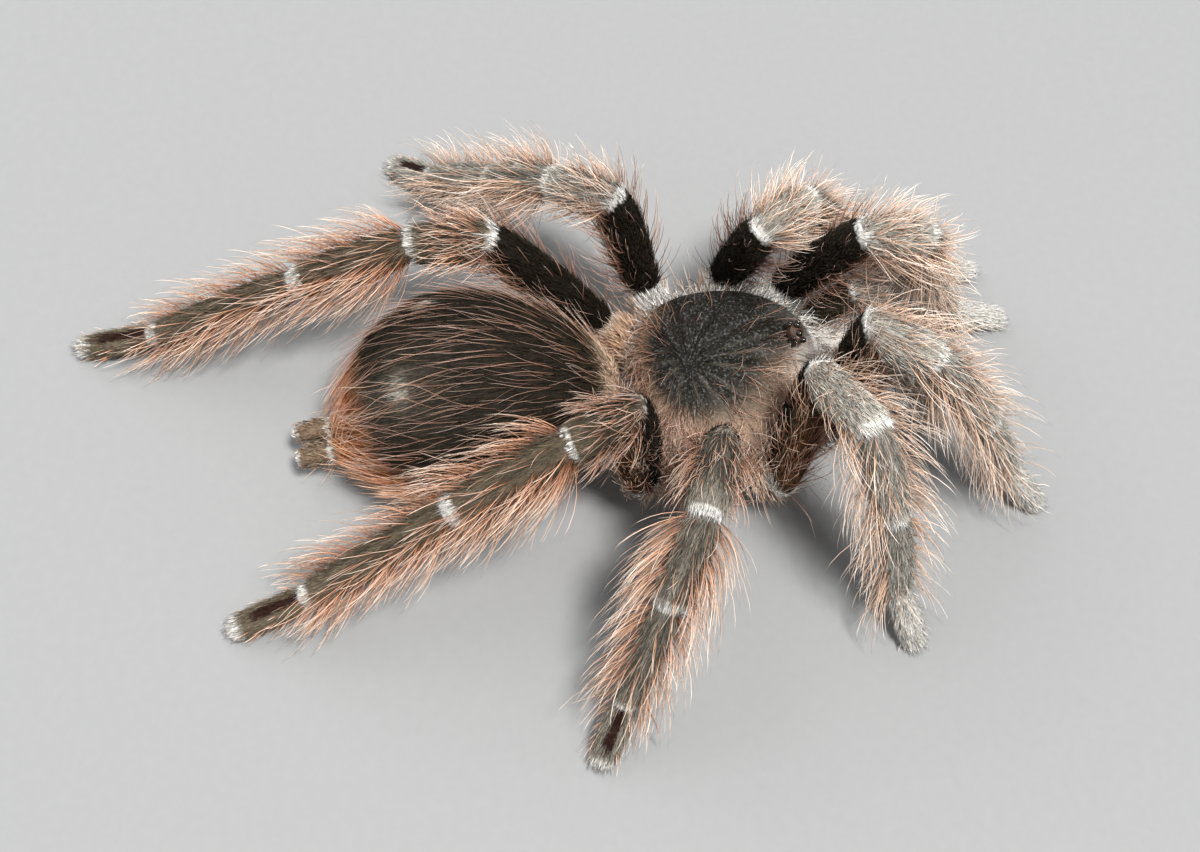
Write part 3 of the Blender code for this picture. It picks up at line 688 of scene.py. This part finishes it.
# One kind of hair: how many on a square millimetre, ranges of length (mm) and lift (degrees), width (mm),
# sway (degrees), the share of the lift left at the tip, segments, and how it droops, curls and waves.
Hair = namedtuple("Hair", "density length width lift sway settle segments droop curl wave",
                  defaults=(0.0, 0.3, 0.0))
patch = 0.003  # width of one hair's patch on the bake map
hairTip = 0.35  # a hair narrows towards this share of its width, and then to a point
floorFan = 0.5  # tips that reach the floor spread over this height


def hairSpine(kind, root, lie, around, out, length):
    count = len(root)
    lift = np.radians(dice.uniform(*kind.lift, count))
    sway = np.radians(dice.normal(0.0, kind.sway, count))
    steps = []
    for step in range(kind.segments):
        share = step / max(1, kind.segments - 1)
        raised = (lift * (1.0 + (kind.settle - 1.0) * share))[:, None]
        turned = (sway * (1.0 + kind.curl * share))[:, None]
        ahead = lie * np.cos(turned) + around * np.sin(turned)
        heading = ahead * np.cos(raised) + out * np.sin(raised) - up * (kind.droop * share)
        steps.append(unit(heading) * (length / kind.segments)[:, None])
    steps = np.cumsum(np.array(steps), axis=0).swapaxes(0, 1)
    spine = np.concatenate((root[:, None], root[:, None] + steps), axis=1)
    if kind.wave:
        phase = dice.uniform(0, 2 * np.pi, count)[:, None]
        share = np.linspace(0, 1, kind.segments + 1)[None]
        swing = kind.wave * np.sin(phase + share * 5.5) * share * length[:, None]
        spine = spine + around[:, None] * swing[..., None]
    return spine


def hairPoints(spine, out, width):  # three corners round each point of the spine but the tip
    count, segments = len(spine), spine.shape[1] - 1
    tangent = unit(np.diff(spine, axis=1))
    side = unit(np.cross(tangent, out[:, None] + 0.15))
    over = np.cross(side, tangent)
    roll = dice.uniform(0, 2 * np.pi, count)[:, None, None] + turns(3)
    radius = 0.5 * width[:, None] * (1.0 - (1.0 - hairTip) * (np.arange(segments) / segments) ** 1.5)
    ring = side[:, :, None] * np.cos(roll)[..., None] + over[:, :, None] * np.sin(roll)[..., None]
    ring = spine[:, :-1, None] + ring * radius[:, :, None, None]
    return np.concatenate((ring.reshape(count, segments * 3, 3), spine[:, -1:]), axis=1)


def hairTemplate(segments):  # a three-sided hair's faces, and their corners on its patch
    faces, corners = [], []
    for ring in range(segments):
        for side in range(3):
            here, beside = 3 * ring + side, 3 * ring + (side + 1) % 3
            if ring < segments - 1:
                faces.append((here, beside, beside + 3, here + 3))
                corners.append(((side, ring), (side + 1, ring), (side + 1, ring + 1), (side, ring + 1)))
            else:
                faces.append((here, beside, 3 * segments))
                corners.append(((side, ring), (side + 1, ring), (side + 0.5, segments)))
    faces.append((2, 1, 0))
    corners.append(((2, 0), (1, 0), (0, 0.1)))
    return faces, corners


def flat(rows, kind=float):
    return np.concatenate(rows).ravel().astype(kind)


class Coat:  # one mesh of closed hairs; its cells share out the bake map
    def __init__(self, name, cells):
        self.name = name
        self.cells = cells
        self.parts = []

    def grow(self, surface, kind, cell=0, share=1.0, weight=None, reach=1.0, depth=0.55):
        count = int(surface.area * kind.density * share)
        place = dice.uniform(0.005, 0.99, count)
        angle = dice.uniform(0.0, 2 * np.pi, count)
        if weight:
            keep = dice.random(count) < weight(place, angle)
            place, angle = place[keep], angle[keep]
        count = len(place)
        if not count:
            return
        root, lie, around, out = surface.frameAt(place, angle, depth)
        length = dice.uniform(*kind.length, count) * (reach(place, angle) if callable(reach) else reach)
        spine = hairSpine(kind, root, lie, around, out, length)
        width = kind.width * dice.uniform(0.75, 1.2, count)
        fan = dice.uniform(0.0, floorFan, count)[:, None] * np.linspace(0, 1, kind.segments + 1)
        spine[..., 2] = np.maximum(spine[..., 2], floorGap + fan)
        marks = surface.marksAt(place, angle)
        marks["shade"] = dice.random(count)
        corner = np.stack((angle / (2 * np.pi), (cell + place * 0.98) / self.cells), axis=-1) * (1 - patch)
        self.parts.append((spine, out, width, marks, corner))

    def build(self):
        places, loops, starts, maps = [], [], [], []
        marks = {name: [] for name in markNames + ("shade", "along")}
        pointCount = loopCount = triangles = 0
        for spine, out, width, painted, corner in self.parts:
            count, segments = len(spine), spine.shape[1] - 1
            places.append(hairPoints(spine, out, width).reshape(-1, 3))
            faces, corners = hairTemplate(segments)
            template = np.array([i for face in faces for i in face])
            offsets = np.cumsum([0] + [len(face) for face in faces[:-1]])
            onPatch = np.array([at for face in corners for at in face], float) * (patch / 3, patch / segments)
            size = 3 * segments + 1
            hairs = np.arange(count)[:, None]
            loops.append((pointCount + hairs * size + template).ravel())
            starts.append((loopCount + hairs * len(template) + offsets).ravel())
            maps.append((corner[:, None] + onPatch).reshape(-1, 2))
            for name in markNames + ("shade",):
                marks[name].append(np.repeat(np.broadcast_to(painted[name], (count,)), size))
            along = np.append(np.repeat(np.arange(segments) / segments, 3), 1.0)
            marks["along"].append(np.tile(along, count))
            pointCount += count * size
            loopCount += count * len(template)
            triangles += count * (6 * (segments - 1) + 4)
        starts = flat(starts, np.int32)
        mesh = bpy.data.meshes.new(self.name)
        mesh.vertices.add(pointCount)
        mesh.vertices.foreach_set("co", (flat(places) * mm).astype(np.float32))
        mesh.loops.add(loopCount)
        mesh.loops.foreach_set("vertex_index", flat(loops, np.int32))
        mesh.polygons.add(len(starts))
        mesh.polygons.foreach_set("loop_start", starts)
        mesh.update(calc_edges=True)
        bakeMap = mesh.uv_layers.new(name="OFBake")
        bakeMap.data.foreach_set("uv", flat(maps, np.float32))
        setMarks(mesh, {name: np.concatenate(values) for name, values in marks.items()})
        mesh.shade_smooth()
        print(self.name, "triangles:", triangles)
        return placed(self.name, mesh)


velvet = Hair(10.5, (0.9, 1.5), 0.09, (8, 22), 7, 0.4, 1)
shortFur = Hair(4.2, (1.8, 3.2), 0.075, (8, 24), 8, 0.3, 2)
shag = Hair(6.0, (2.0, 3.8), 0.085, (20, 50), 14, 0.3, 3, droop=0.25)
brush = Hair(12.0, (1.1, 1.9), 0.095, (8, 34), 9, 0.5, 1)
bristle = Hair(3.0, (5.0, 9.6), 0.1, (28, 60), 13, 0.25, 5, droop=0.1, curl=0.5)
lyingHair = Hair(1.4, (3.0, 6.0), 0.085, (5, 26), 12, 0.1, 3, curl=0.5)
kneeTuft = Hair(2.4, (3.4, 6.6), 0.095, (46, 76), 24, 0.5, 4, curl=0.4)
pieceLength = {"coxa": 0.9, "femur": 0.75, "patella": 0.85, "tibia": 1.0, "metatarsus": 0.9, "tarsus": 0.55}
bristleShare = {"coxa": 0.15, "femur": 0.6, "patella": 1.15, "tibia": 1.3, "metatarsus": 1.15, "tarsus": 0.3}
tuftShare = {0: 0.3, 1: 1.0, 2: 0.9, 3: 0.3, 4: 0.15}


def bristleWeight(limb, piece):
    rearward = math.copysign(1.0, limb.across[2][1])

    def weight(place, angle):
        dorsal = np.sin(angle)
        if limb.hind and piece == "patella":  # short hairs all round the knee, none over its white band
            return (0.75 - 0.4 * smooth(-dorsal, 0.0, 0.8)) * (1.0 - smooth(place, 0.5, 0.75))
        cut = 0.8 * smooth(dorsal, 0.4, 0.9) if limb.hind else 0.92 * smooth(dorsal, 0.2, 0.8)
        share = (0.3 + 0.7 * np.abs(np.cos(angle))) * (1.0 - cut)
        share = share * (0.35 + 0.65 * smooth(dorsal, -0.85, -0.1)) * (1.0 if limb.hind else 0.8)
        if piece == "femur":
            share = np.maximum(share * (1.0 - 0.7 * smooth(dorsal, 0.0, 0.7)), 0.07)
        if piece == "patella" and limb.side == "right":  # its rear side leaves the femur in view
            bared = smooth(np.cos(angle) * rearward, 0.0, 0.5) * (1.0 - smooth(place, 0.45, 0.85))
            share = share * (1.0 - 0.85 * bared)
        return share * (1.0 - limbMarks(limb, piece, place, angle)["pale"])
    return weight


def lyingWeight(piece):  # low on the femur, high on the other pieces
    if piece == "femur":
        return lambda place, angle: smooth(-np.sin(angle), -0.35, 0.1)
    return lambda place, angle: 0.6 * smooth(np.sin(angle), -0.1, 0.6) * (1.0 - smooth(place, 0.5, 0.9))


def tuftWeight(place, angle):
    return smooth(np.sin(angle), 0.1, 0.7) * (1.0 - smooth(place, 0.55, 0.9))


def underThinned(place, angle):
    return 0.37 + 0.63 * smooth(np.sin(angle), -0.95, -0.3)


def makeLegCoats(limb):
    fur = Coat("fur_" + limb.prefix, len(limb.pieces))
    bristles = Coat("bristles_" + limb.prefix, len(limb.pieces))
    small = 1.0 if limb.pair else 0.72
    for index, piece in enumerate(limb.pieces):
        surface = limb.surface(index)
        size = small * (0.75 + 0.25 * pieceLength[piece]) * (0.85 if piece == "tarsus" else 1.0)
        reach = small * pieceLength[piece] * (0.7 if piece == "patella" and limb.hind else 1.0)
        reach = reach * (0.5 if piece == "tarsus" else 1.0)

        def cropped(place, angle):  # shorter over the white bands
            return size * (1.0 - 0.45 * smooth(place, 0.8, 0.88))

        def paleness(place, angle):
            return surface.marksAt(place, angle)["pale"]

        fur.grow(surface, velvet, index, (1.3 if piece == "femur" else 1.0) / small, underThinned, cropped)
        for kind in (shortFur, shag) if piece == "coxa" else (shortFur,):
            fur.grow(surface, kind, index, 1.0 / small, underThinned, cropped)
        fur.grow(surface, brush, index, 1.0, paleness, small)
        bristles.grow(surface, bristle, index, bristleShare[piece], bristleWeight(limb, piece),
                      lambda place, angle: reach * (0.75 + 0.35 * np.abs(np.cos(angle))))
        if piece == "femur" or (not limb.hind and piece in ("patella", "tibia")):
            bristles.grow(surface, lyingHair, index, 1.0, lyingWeight(piece), small)
        if piece in ("patella", "tibia"):
            share = tuftShare[limb.pair] * (1.0 if limb.side == "left" else 0.4)
            bristles.grow(surface, kneeTuft, index, share, tuftWeight,
                          lambda place, angle: small * (1.0 - 0.35 * smooth(place, 0.2, 0.9)))
    return fur.build(), bristles.build()


abdomenVelvet = Hair(10.0, (0.9, 1.6), 0.12, (6, 15), 8, 0.4, 1)
abdomenFur = Hair(2.6, (1.8, 3.4), 0.095, (6, 17), 9, 0.3, 2)
topHair = Hair(0.44, (6.0, 10.0), 0.062, (2, 9), 10, -0.1, 6, curl=0.4, wave=0.035)
sideBristle = Hair(2.0, (5.0, 9.5), 0.085, (5, 20), 12, 0.0, 6, droop=0.1, curl=0.4, wave=0.03)
abdomenRoot = 0.65  # depth of the hairs' roots


def topWeight(place, angle):
    return smooth(np.sin(angle), 0.2, 0.6) * (1.0 - hump(place, 0.88, 0.05) * hump(angle, 1.5, 0.5))


def sideWeight(place, angle):
    low = 1.0 - smooth(np.sin(angle), -0.1, 0.72)
    far = smooth(np.cos(angle), -0.2, 0.3)  # the far flank carries few long hairs
    return np.clip(low * (1.0 - 0.8 * far) + 0.7 * smooth(place, 0.84, 0.96), 0.0, 1.0)


def makeAbdomenCoats():
    surface = trunkSurfaces["abdomen"]
    fur, bristles = Coat("fur_abdomen", 1), Coat("bristles_abdomen", 1)
    fur.grow(surface, abdomenVelvet, depth=abdomenRoot)
    fur.grow(surface, abdomenFur, depth=abdomenRoot)
    bristles.grow(surface, topHair, weight=topWeight, depth=abdomenRoot)
    bristles.grow(surface, sideBristle, weight=sideWeight, depth=abdomenRoot)
    return fur.build(), bristles.build()


shellVelvet = Hair(22.0, (0.6, 1.1), 0.11, (4, 12), 14, 0.5, 1)
shellFur = Hair(6.0, (1.2, 2.4), 0.09, (6, 20), 16, 0.3, 2)
shellHair = Hair(4.0, (2.6, 5.6), 0.075, (8, 42), 24, 0.1, 5, droop=0.25, curl=1.0, wave=0.05)
fringe = Hair(24.0, (1.8, 3.8), 0.09, (0, 50), 18, -0.1, 3, droop=0.3)


def fringeWeight(reach, angle):
    return smooth(reach, 0.84, 0.95) * (0.45 + 0.55 * smooth(np.sin(angle), 0.0, 0.5))


def fringeReach(reach, angle):  # longer on the far side
    return 1.0 + 0.75 * smooth(np.sin(angle), 0.0, 0.5)


def shellHairWeight(reach, angle):  # on the near slope and the rear
    near = 0.12 + 0.6 * smooth(-np.sin(angle), -0.3, 0.4)
    return smooth(reach, 0.25, 0.8) * np.maximum(near, smooth(-np.cos(angle), 0.3, 0.8))


def makeShellCoats():
    fur, bristles = Coat("fur_carapace", 1), Coat("bristles_carapace", 1)
    for kind in (shellVelvet, shellFur):  # a ring's share of the hairs grows with its reach
        fur.grow(shellSurface, kind, weight=lambda reach, angle: reach, depth=0.35)
    fur.grow(shellSurface, fringe, weight=fringeWeight, reach=fringeReach, depth=0.5)
    bristles.grow(shellSurface, shellHair, weight=shellHairWeight, depth=0.35)
    return fur.build(), bristles.build()


underFur = Hair(3.4, (1.2, 2.4), 0.12, (14, 34), 14, 0.3, 2)
jawHair = Hair(2.4, (2.6, 5.0), 0.08, (25, 70), 22, 0.4, 4, curl=0.6)
underCoat = {"sternum": (0.8, 0.55), "jaw_left": (0.8, 0.55), "jaw_right": (0.8, 0.55),
             "spinneret_left": (0.45, 0.3), "spinneret_right": (0.45, 0.3)}  # share of length, depth


def jawWeight(place, angle):
    return smooth(np.sin(angle), -0.6, 0.2)


def makeUnderCoats():
    fur, bristles = Coat("fur_trunk", len(underCoat)), Coat("bristles_face", 2)
    for cell, (name, (reach, depth)) in enumerate(underCoat.items()):
        fur.grow(trunkSurfaces[name], underFur, cell, reach=reach, depth=depth)
        fur.grow(trunkSurfaces[name], shellVelvet, cell, 0.4, reach=reach, depth=depth)
    fur = fur.build()
    for cell, name in enumerate(("jaw_left", "jaw_right")):
        bristles.grow(trunkSurfaces[name], jawHair, cell, weight=jawWeight)
    return fur, bristles.build()


class Wire:  # a node's output that sums and products can use
    def __init__(self, finish, socket):
        self.finish = finish
        self.socket = socket

    def maths(self, operation, first, second):
        return self.finish.node("ShaderNodeMath", {"operation": operation}, {0: first, 1: second})

    def __add__(self, other):
        return self.maths("ADD", self, other)

    def __sub__(self, other):
        return self.maths("SUBTRACT", self, other)

    def __rsub__(self, other):
        return self.maths("SUBTRACT", other, self)

    def __mul__(self, other):
        return self.maths("MULTIPLY", self, other)

    def __pow__(self, other):
        return self.maths("POWER", self, other)

    __radd__ = __add__
    __rmul__ = __mul__

    def clamped(self):
        return self.finish.node("ShaderNodeClamp", {}, {"Value": self})


class Finish:  # one procedural material
    def __init__(self, name):
        self.material = bpy.data.materials.new(name)
        self.material.use_nodes = True
        self.tree = self.material.node_tree
        self.tree.nodes.clear()

    def node(self, kind, settings=None, inputs=None, output=0):
        made = self.tree.nodes.new(kind)
        for key, value in (settings or {}).items():
            setattr(made, key, value)
        for key, value in (inputs or {}).items():
            if isinstance(value, Wire):
                self.tree.links.new(value.socket, made.inputs[key])
            else:
                made.inputs[key].default_value = value
        return Wire(self, made.outputs[output]) if made.outputs else None

    def mask(self, name):
        return self.node("ShaderNodeAttribute", {"attribute_name": name}, output=2)

    def mix(self, share, first, second):
        first, second = (value if isinstance(value, Wire) else (*value, 1.0) for value in (first, second))
        return self.node("ShaderNodeMix", {"data_type": "RGBA"}, {0: share, 6: first, 7: second}, output=2)

    def noise(self, size, detail):
        place = self.node("ShaderNodeTexCoord", output=3)
        scale = 1.0 / (size * mm)
        return self.node("ShaderNodeTexNoise", {}, {"Vector": place, "Scale": scale, "Detail": detail})

    def bump(self, height, depth, strength):
        inputs = {"Strength": strength, "Distance": depth * mm, "Height": height}
        return self.node("ShaderNodeBump", {}, inputs)

    def surface(self, colour, roughness, shine=0.5, normal=None):
        inputs = {"Base Color": colour, "Roughness": roughness, "Specular IOR Level": shine}
        if normal:
            inputs["Normal"] = normal
        shader = self.node("ShaderNodeBsdfPrincipled", {}, inputs)
        self.node("ShaderNodeOutputMaterial", {}, {"Surface": shader})
        return self.material


coatColours = {  # skin side and tip side of each mark, in linear light
    "olive": ((0.034, 0.024, 0.013), (0.29, 0.215, 0.135)),
    "frost": ((0.20, 0.185, 0.155), (0.98, 0.93, 0.83)),
    "warm": ((0.30, 0.17, 0.10), (0.92, 0.68, 0.50)),
    "rust": ((0.20, 0.055, 0.014), (0.86, 0.37, 0.13)),
    "dark": ((0.003, 0.0024, 0.0016), (0.026, 0.019, 0.011)),
    "bare": ((0.02, 0.008, 0.005), (0.05, 0.02, 0.012)),
    "pale": ((0.75, 0.72, 0.66), (1.0, 0.98, 0.94)),
}


def coatColour(finish, along):
    colour = finish.mix(along, *coatColours["olive"])
    for name in ("frost", "warm", "rust", "dark", "bare", "pale"):
        colour = finish.mix(finish.mask(name).clamped(), colour, finish.mix(along, *coatColours[name]))
    return colour


def toned(finish, colour, low, high, share):  # darker and lighter copies of a colour
    factor = share * (high - low) + low
    grey = finish.node("ShaderNodeCombineXYZ", {}, {0: factor, 1: factor, 2: factor})
    return finish.node("ShaderNodeVectorMath", {"operation": "MULTIPLY"}, {0: colour, 1: grey})


def skinFinish():
    finish = Finish("skinWithShortFur")
    grain = finish.noise(0.16, 3.0)
    colour = toned(finish, coatColour(finish, grain * 0.6), 0.4, 1.0, finish.noise(2.2, 2.0))
    return finish.surface(colour, 0.62, 0.1, finish.bump(grain, 0.12, 0.8))


def furFinish():
    finish = Finish("shortFur")
    colour = coatColour(finish, finish.mask("along") * 0.9 + 0.1)
    colour = toned(finish, colour, 0.5, 1.25, finish.mask("shade"))
    return finish.surface(colour, 0.5, 0.1)


bristleColours = {  # root, middle and tip of a long hair, by its mark
    "plain": ((0.14, 0.042, 0.017), (0.57, 0.275, 0.15), (0.98, 0.84, 0.70)),
    "frost": ((0.25, 0.11, 0.055), (0.80, 0.57, 0.41), (0.99, 0.93, 0.86)),
    "warm": ((0.15, 0.07, 0.05), (0.44, 0.26, 0.19), (0.78, 0.62, 0.53)),
    "rust": ((0.16, 0.036, 0.009), (0.66, 0.215, 0.07), (0.98, 0.64, 0.42)),
    "dark": ((0.08, 0.035, 0.022), (0.29, 0.15, 0.10), (0.56, 0.39, 0.31)),
    "pale": ((0.45, 0.36, 0.29), (0.80, 0.72, 0.64), (0.95, 0.90, 0.84)),
}


def bristleFinish():
    finish = Finish("longBristles")
    along, shade = finish.mask("along"), finish.mask("shade")
    parts = []
    for i in range(3):
        colour = bristleColours["plain"][i]
        for name in ("frost", "warm", "rust", "dark", "pale"):
            colour = finish.mix(finish.mask(name).clamped(), colour, bristleColours[name][i])
        parts.append(colour)
    colour = finish.mix((along * 2.6).clamped(), parts[0], parts[1])
    colour = finish.mix((along * 1.7 - 0.9 + shade * 0.35).clamped(), colour, parts[2])
    return finish.surface(toned(finish, colour, 0.5, 1.15, shade), 0.32)


def shellFinish():
    finish = Finish("carapaceShell")
    grain = finish.noise(0.25, 4.0)
    # the sparse bright grey specks mixed into the shell's colour are painted glints of light on its hair
    paintedGlints = finish.noise(0.3, 1.0) ** 9.0
    colour = toned(finish, coatColour(finish, grain * 0.5), 0.4, 1.0, finish.noise(1.6, 2.0))
    colour = finish.mix((paintedGlints * 40.0).clamped() * 0.15, colour, (0.34, 0.36, 0.36))
    return finish.surface(colour, 0.65, 0.15, finish.bump(grain, 0.1, 0.7))


plainLooks = {  # two colours, grain size (mm), roughness and depth of the grain
    "eyeLens": ((0.006, 0.004, 0.003), (0.014, 0.009, 0.006), 0.4, 0.06, 0.0),
    "eyeMound": ((0.008, 0.005, 0.004), (0.075, 0.034, 0.018), 0.4, 0.3, 0.05),
    "fangHorn": ((0.008, 0.005, 0.004), (0.03, 0.012, 0.008), 0.8, 0.18, 0.02),
    "paleFloor": ((0.208, 0.208, 0.205), (0.226, 0.226, 0.223), 1.2, 0.7, 0.05),
}


def plainFinish(name):
    first, second, size, roughness, depth = plainLooks[name]
    finish = Finish(name)
    grain = finish.noise(size, 3.0)
    colour = finish.mix(grain, first, second)
    return finish.surface(colour, roughness, normal=finish.bump(grain, depth, 0.5))


def dress(obj, material, slot, *nodes):
    obj.data.materials.clear()
    obj.data.materials.append(material)
    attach(obj, "root")
    if nodes:
        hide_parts(*nodes)


lighting = {  # the world's colour and strength; each lamp's place, angle across (degrees) and strength
    "world": ((0.93, 0.96, 1.0, 1.0), 0.6),
    "key": ((-70.0, -50.0, 230.0), 12.0, 5.9),
    "fill": ((180.0, 140.0, 190.0), 60.0, 1.5),
    "floorReach": 1500.0,
}


def makeFloor():
    corners = np.array([(-1, -1, 0), (1, -1, 0), (1, 1, 0), (-1, 1, 0)]) * lighting["floorReach"]
    floor = newMesh("floor", corners, [(0, 1, 2, 3)], False)
    floor.data.materials.append(plainFinish("paleFloor"))


def makeLights():
    world = bpy.data.worlds.new("studio")
    scene.world = world
    world.use_nodes = True
    background = world.node_tree.nodes["Background"].inputs
    background["Color"].default_value, background["Strength"].default_value = lighting["world"]
    scene.view_settings.view_transform = "Standard"
    for name in ("key", "fill"):
        place, across, strength = lighting[name]
        lamp = bpy.data.lights.new(name, "SUN")
        lamp.angle = math.radians(across)
        lamp.energy = strength
        obj = placed(name, lamp)
        obj.location = Vector(place) * mm
        obj.rotation_euler = (-obj.location).to_track_quat("-Z", "Y").to_euler()


setCamera()
makeLights()
makeFloor()

fleshNodes = [limb.prefix + "_" + piece for limb in limbs for piece in limb.pieces[1:]]
fleshNodes += ["sternum_and_coxae", "pedicel", "abdomen"]
fleshNodes += [part + side for part in ("chelicera_", "spinneret_") for side in ("left", "right")]
skinPiece = makeSkin()
dress(skinPiece, skinFinish(), "under_coat", *fleshNodes)
print("skin made:", len(skinPiece.data.polygons))

dress(makeShell(), shellFinish(), "carapace_velvet", "carapace")
mound, eyesLeft, eyesRight = makeEyes()
eyeGlass, horn = plainFinish("eyeLens"), plainFinish("fangHorn")
dress(mound, plainFinish("eyeMound"), "eye_lens")
dress(eyesLeft, eyeGlass, "eye_lens", "eyes_left")
dress(eyesRight, eyeGlass, "eye_lens", "eyes_right")
dress(makeFang("fangLeft", 1.0), horn, "fang_horn", "fang_left")
dress(makeFang("fangRight", -1.0), horn, "fang_horn", "fang_right")
dress(makeClaws(), horn, "fang_horn")
print("shell, eyes, fangs and claws made")

furLook, bristleLook = furFinish(), bristleFinish()
coats = [(*makeLegCoats(limb), "shin_coat") for limb in limbs]
coats += [(*makeAbdomenCoats(), "abdomen_velvet"), (*makeShellCoats(), "carapace_velvet"),
          (*makeUnderCoats(), "under_coat")]
for fur, bristles, slot in coats:
    dress(fur, furLook, slot)
    dress(bristles, bristleLook, slot)
print("coat grown")
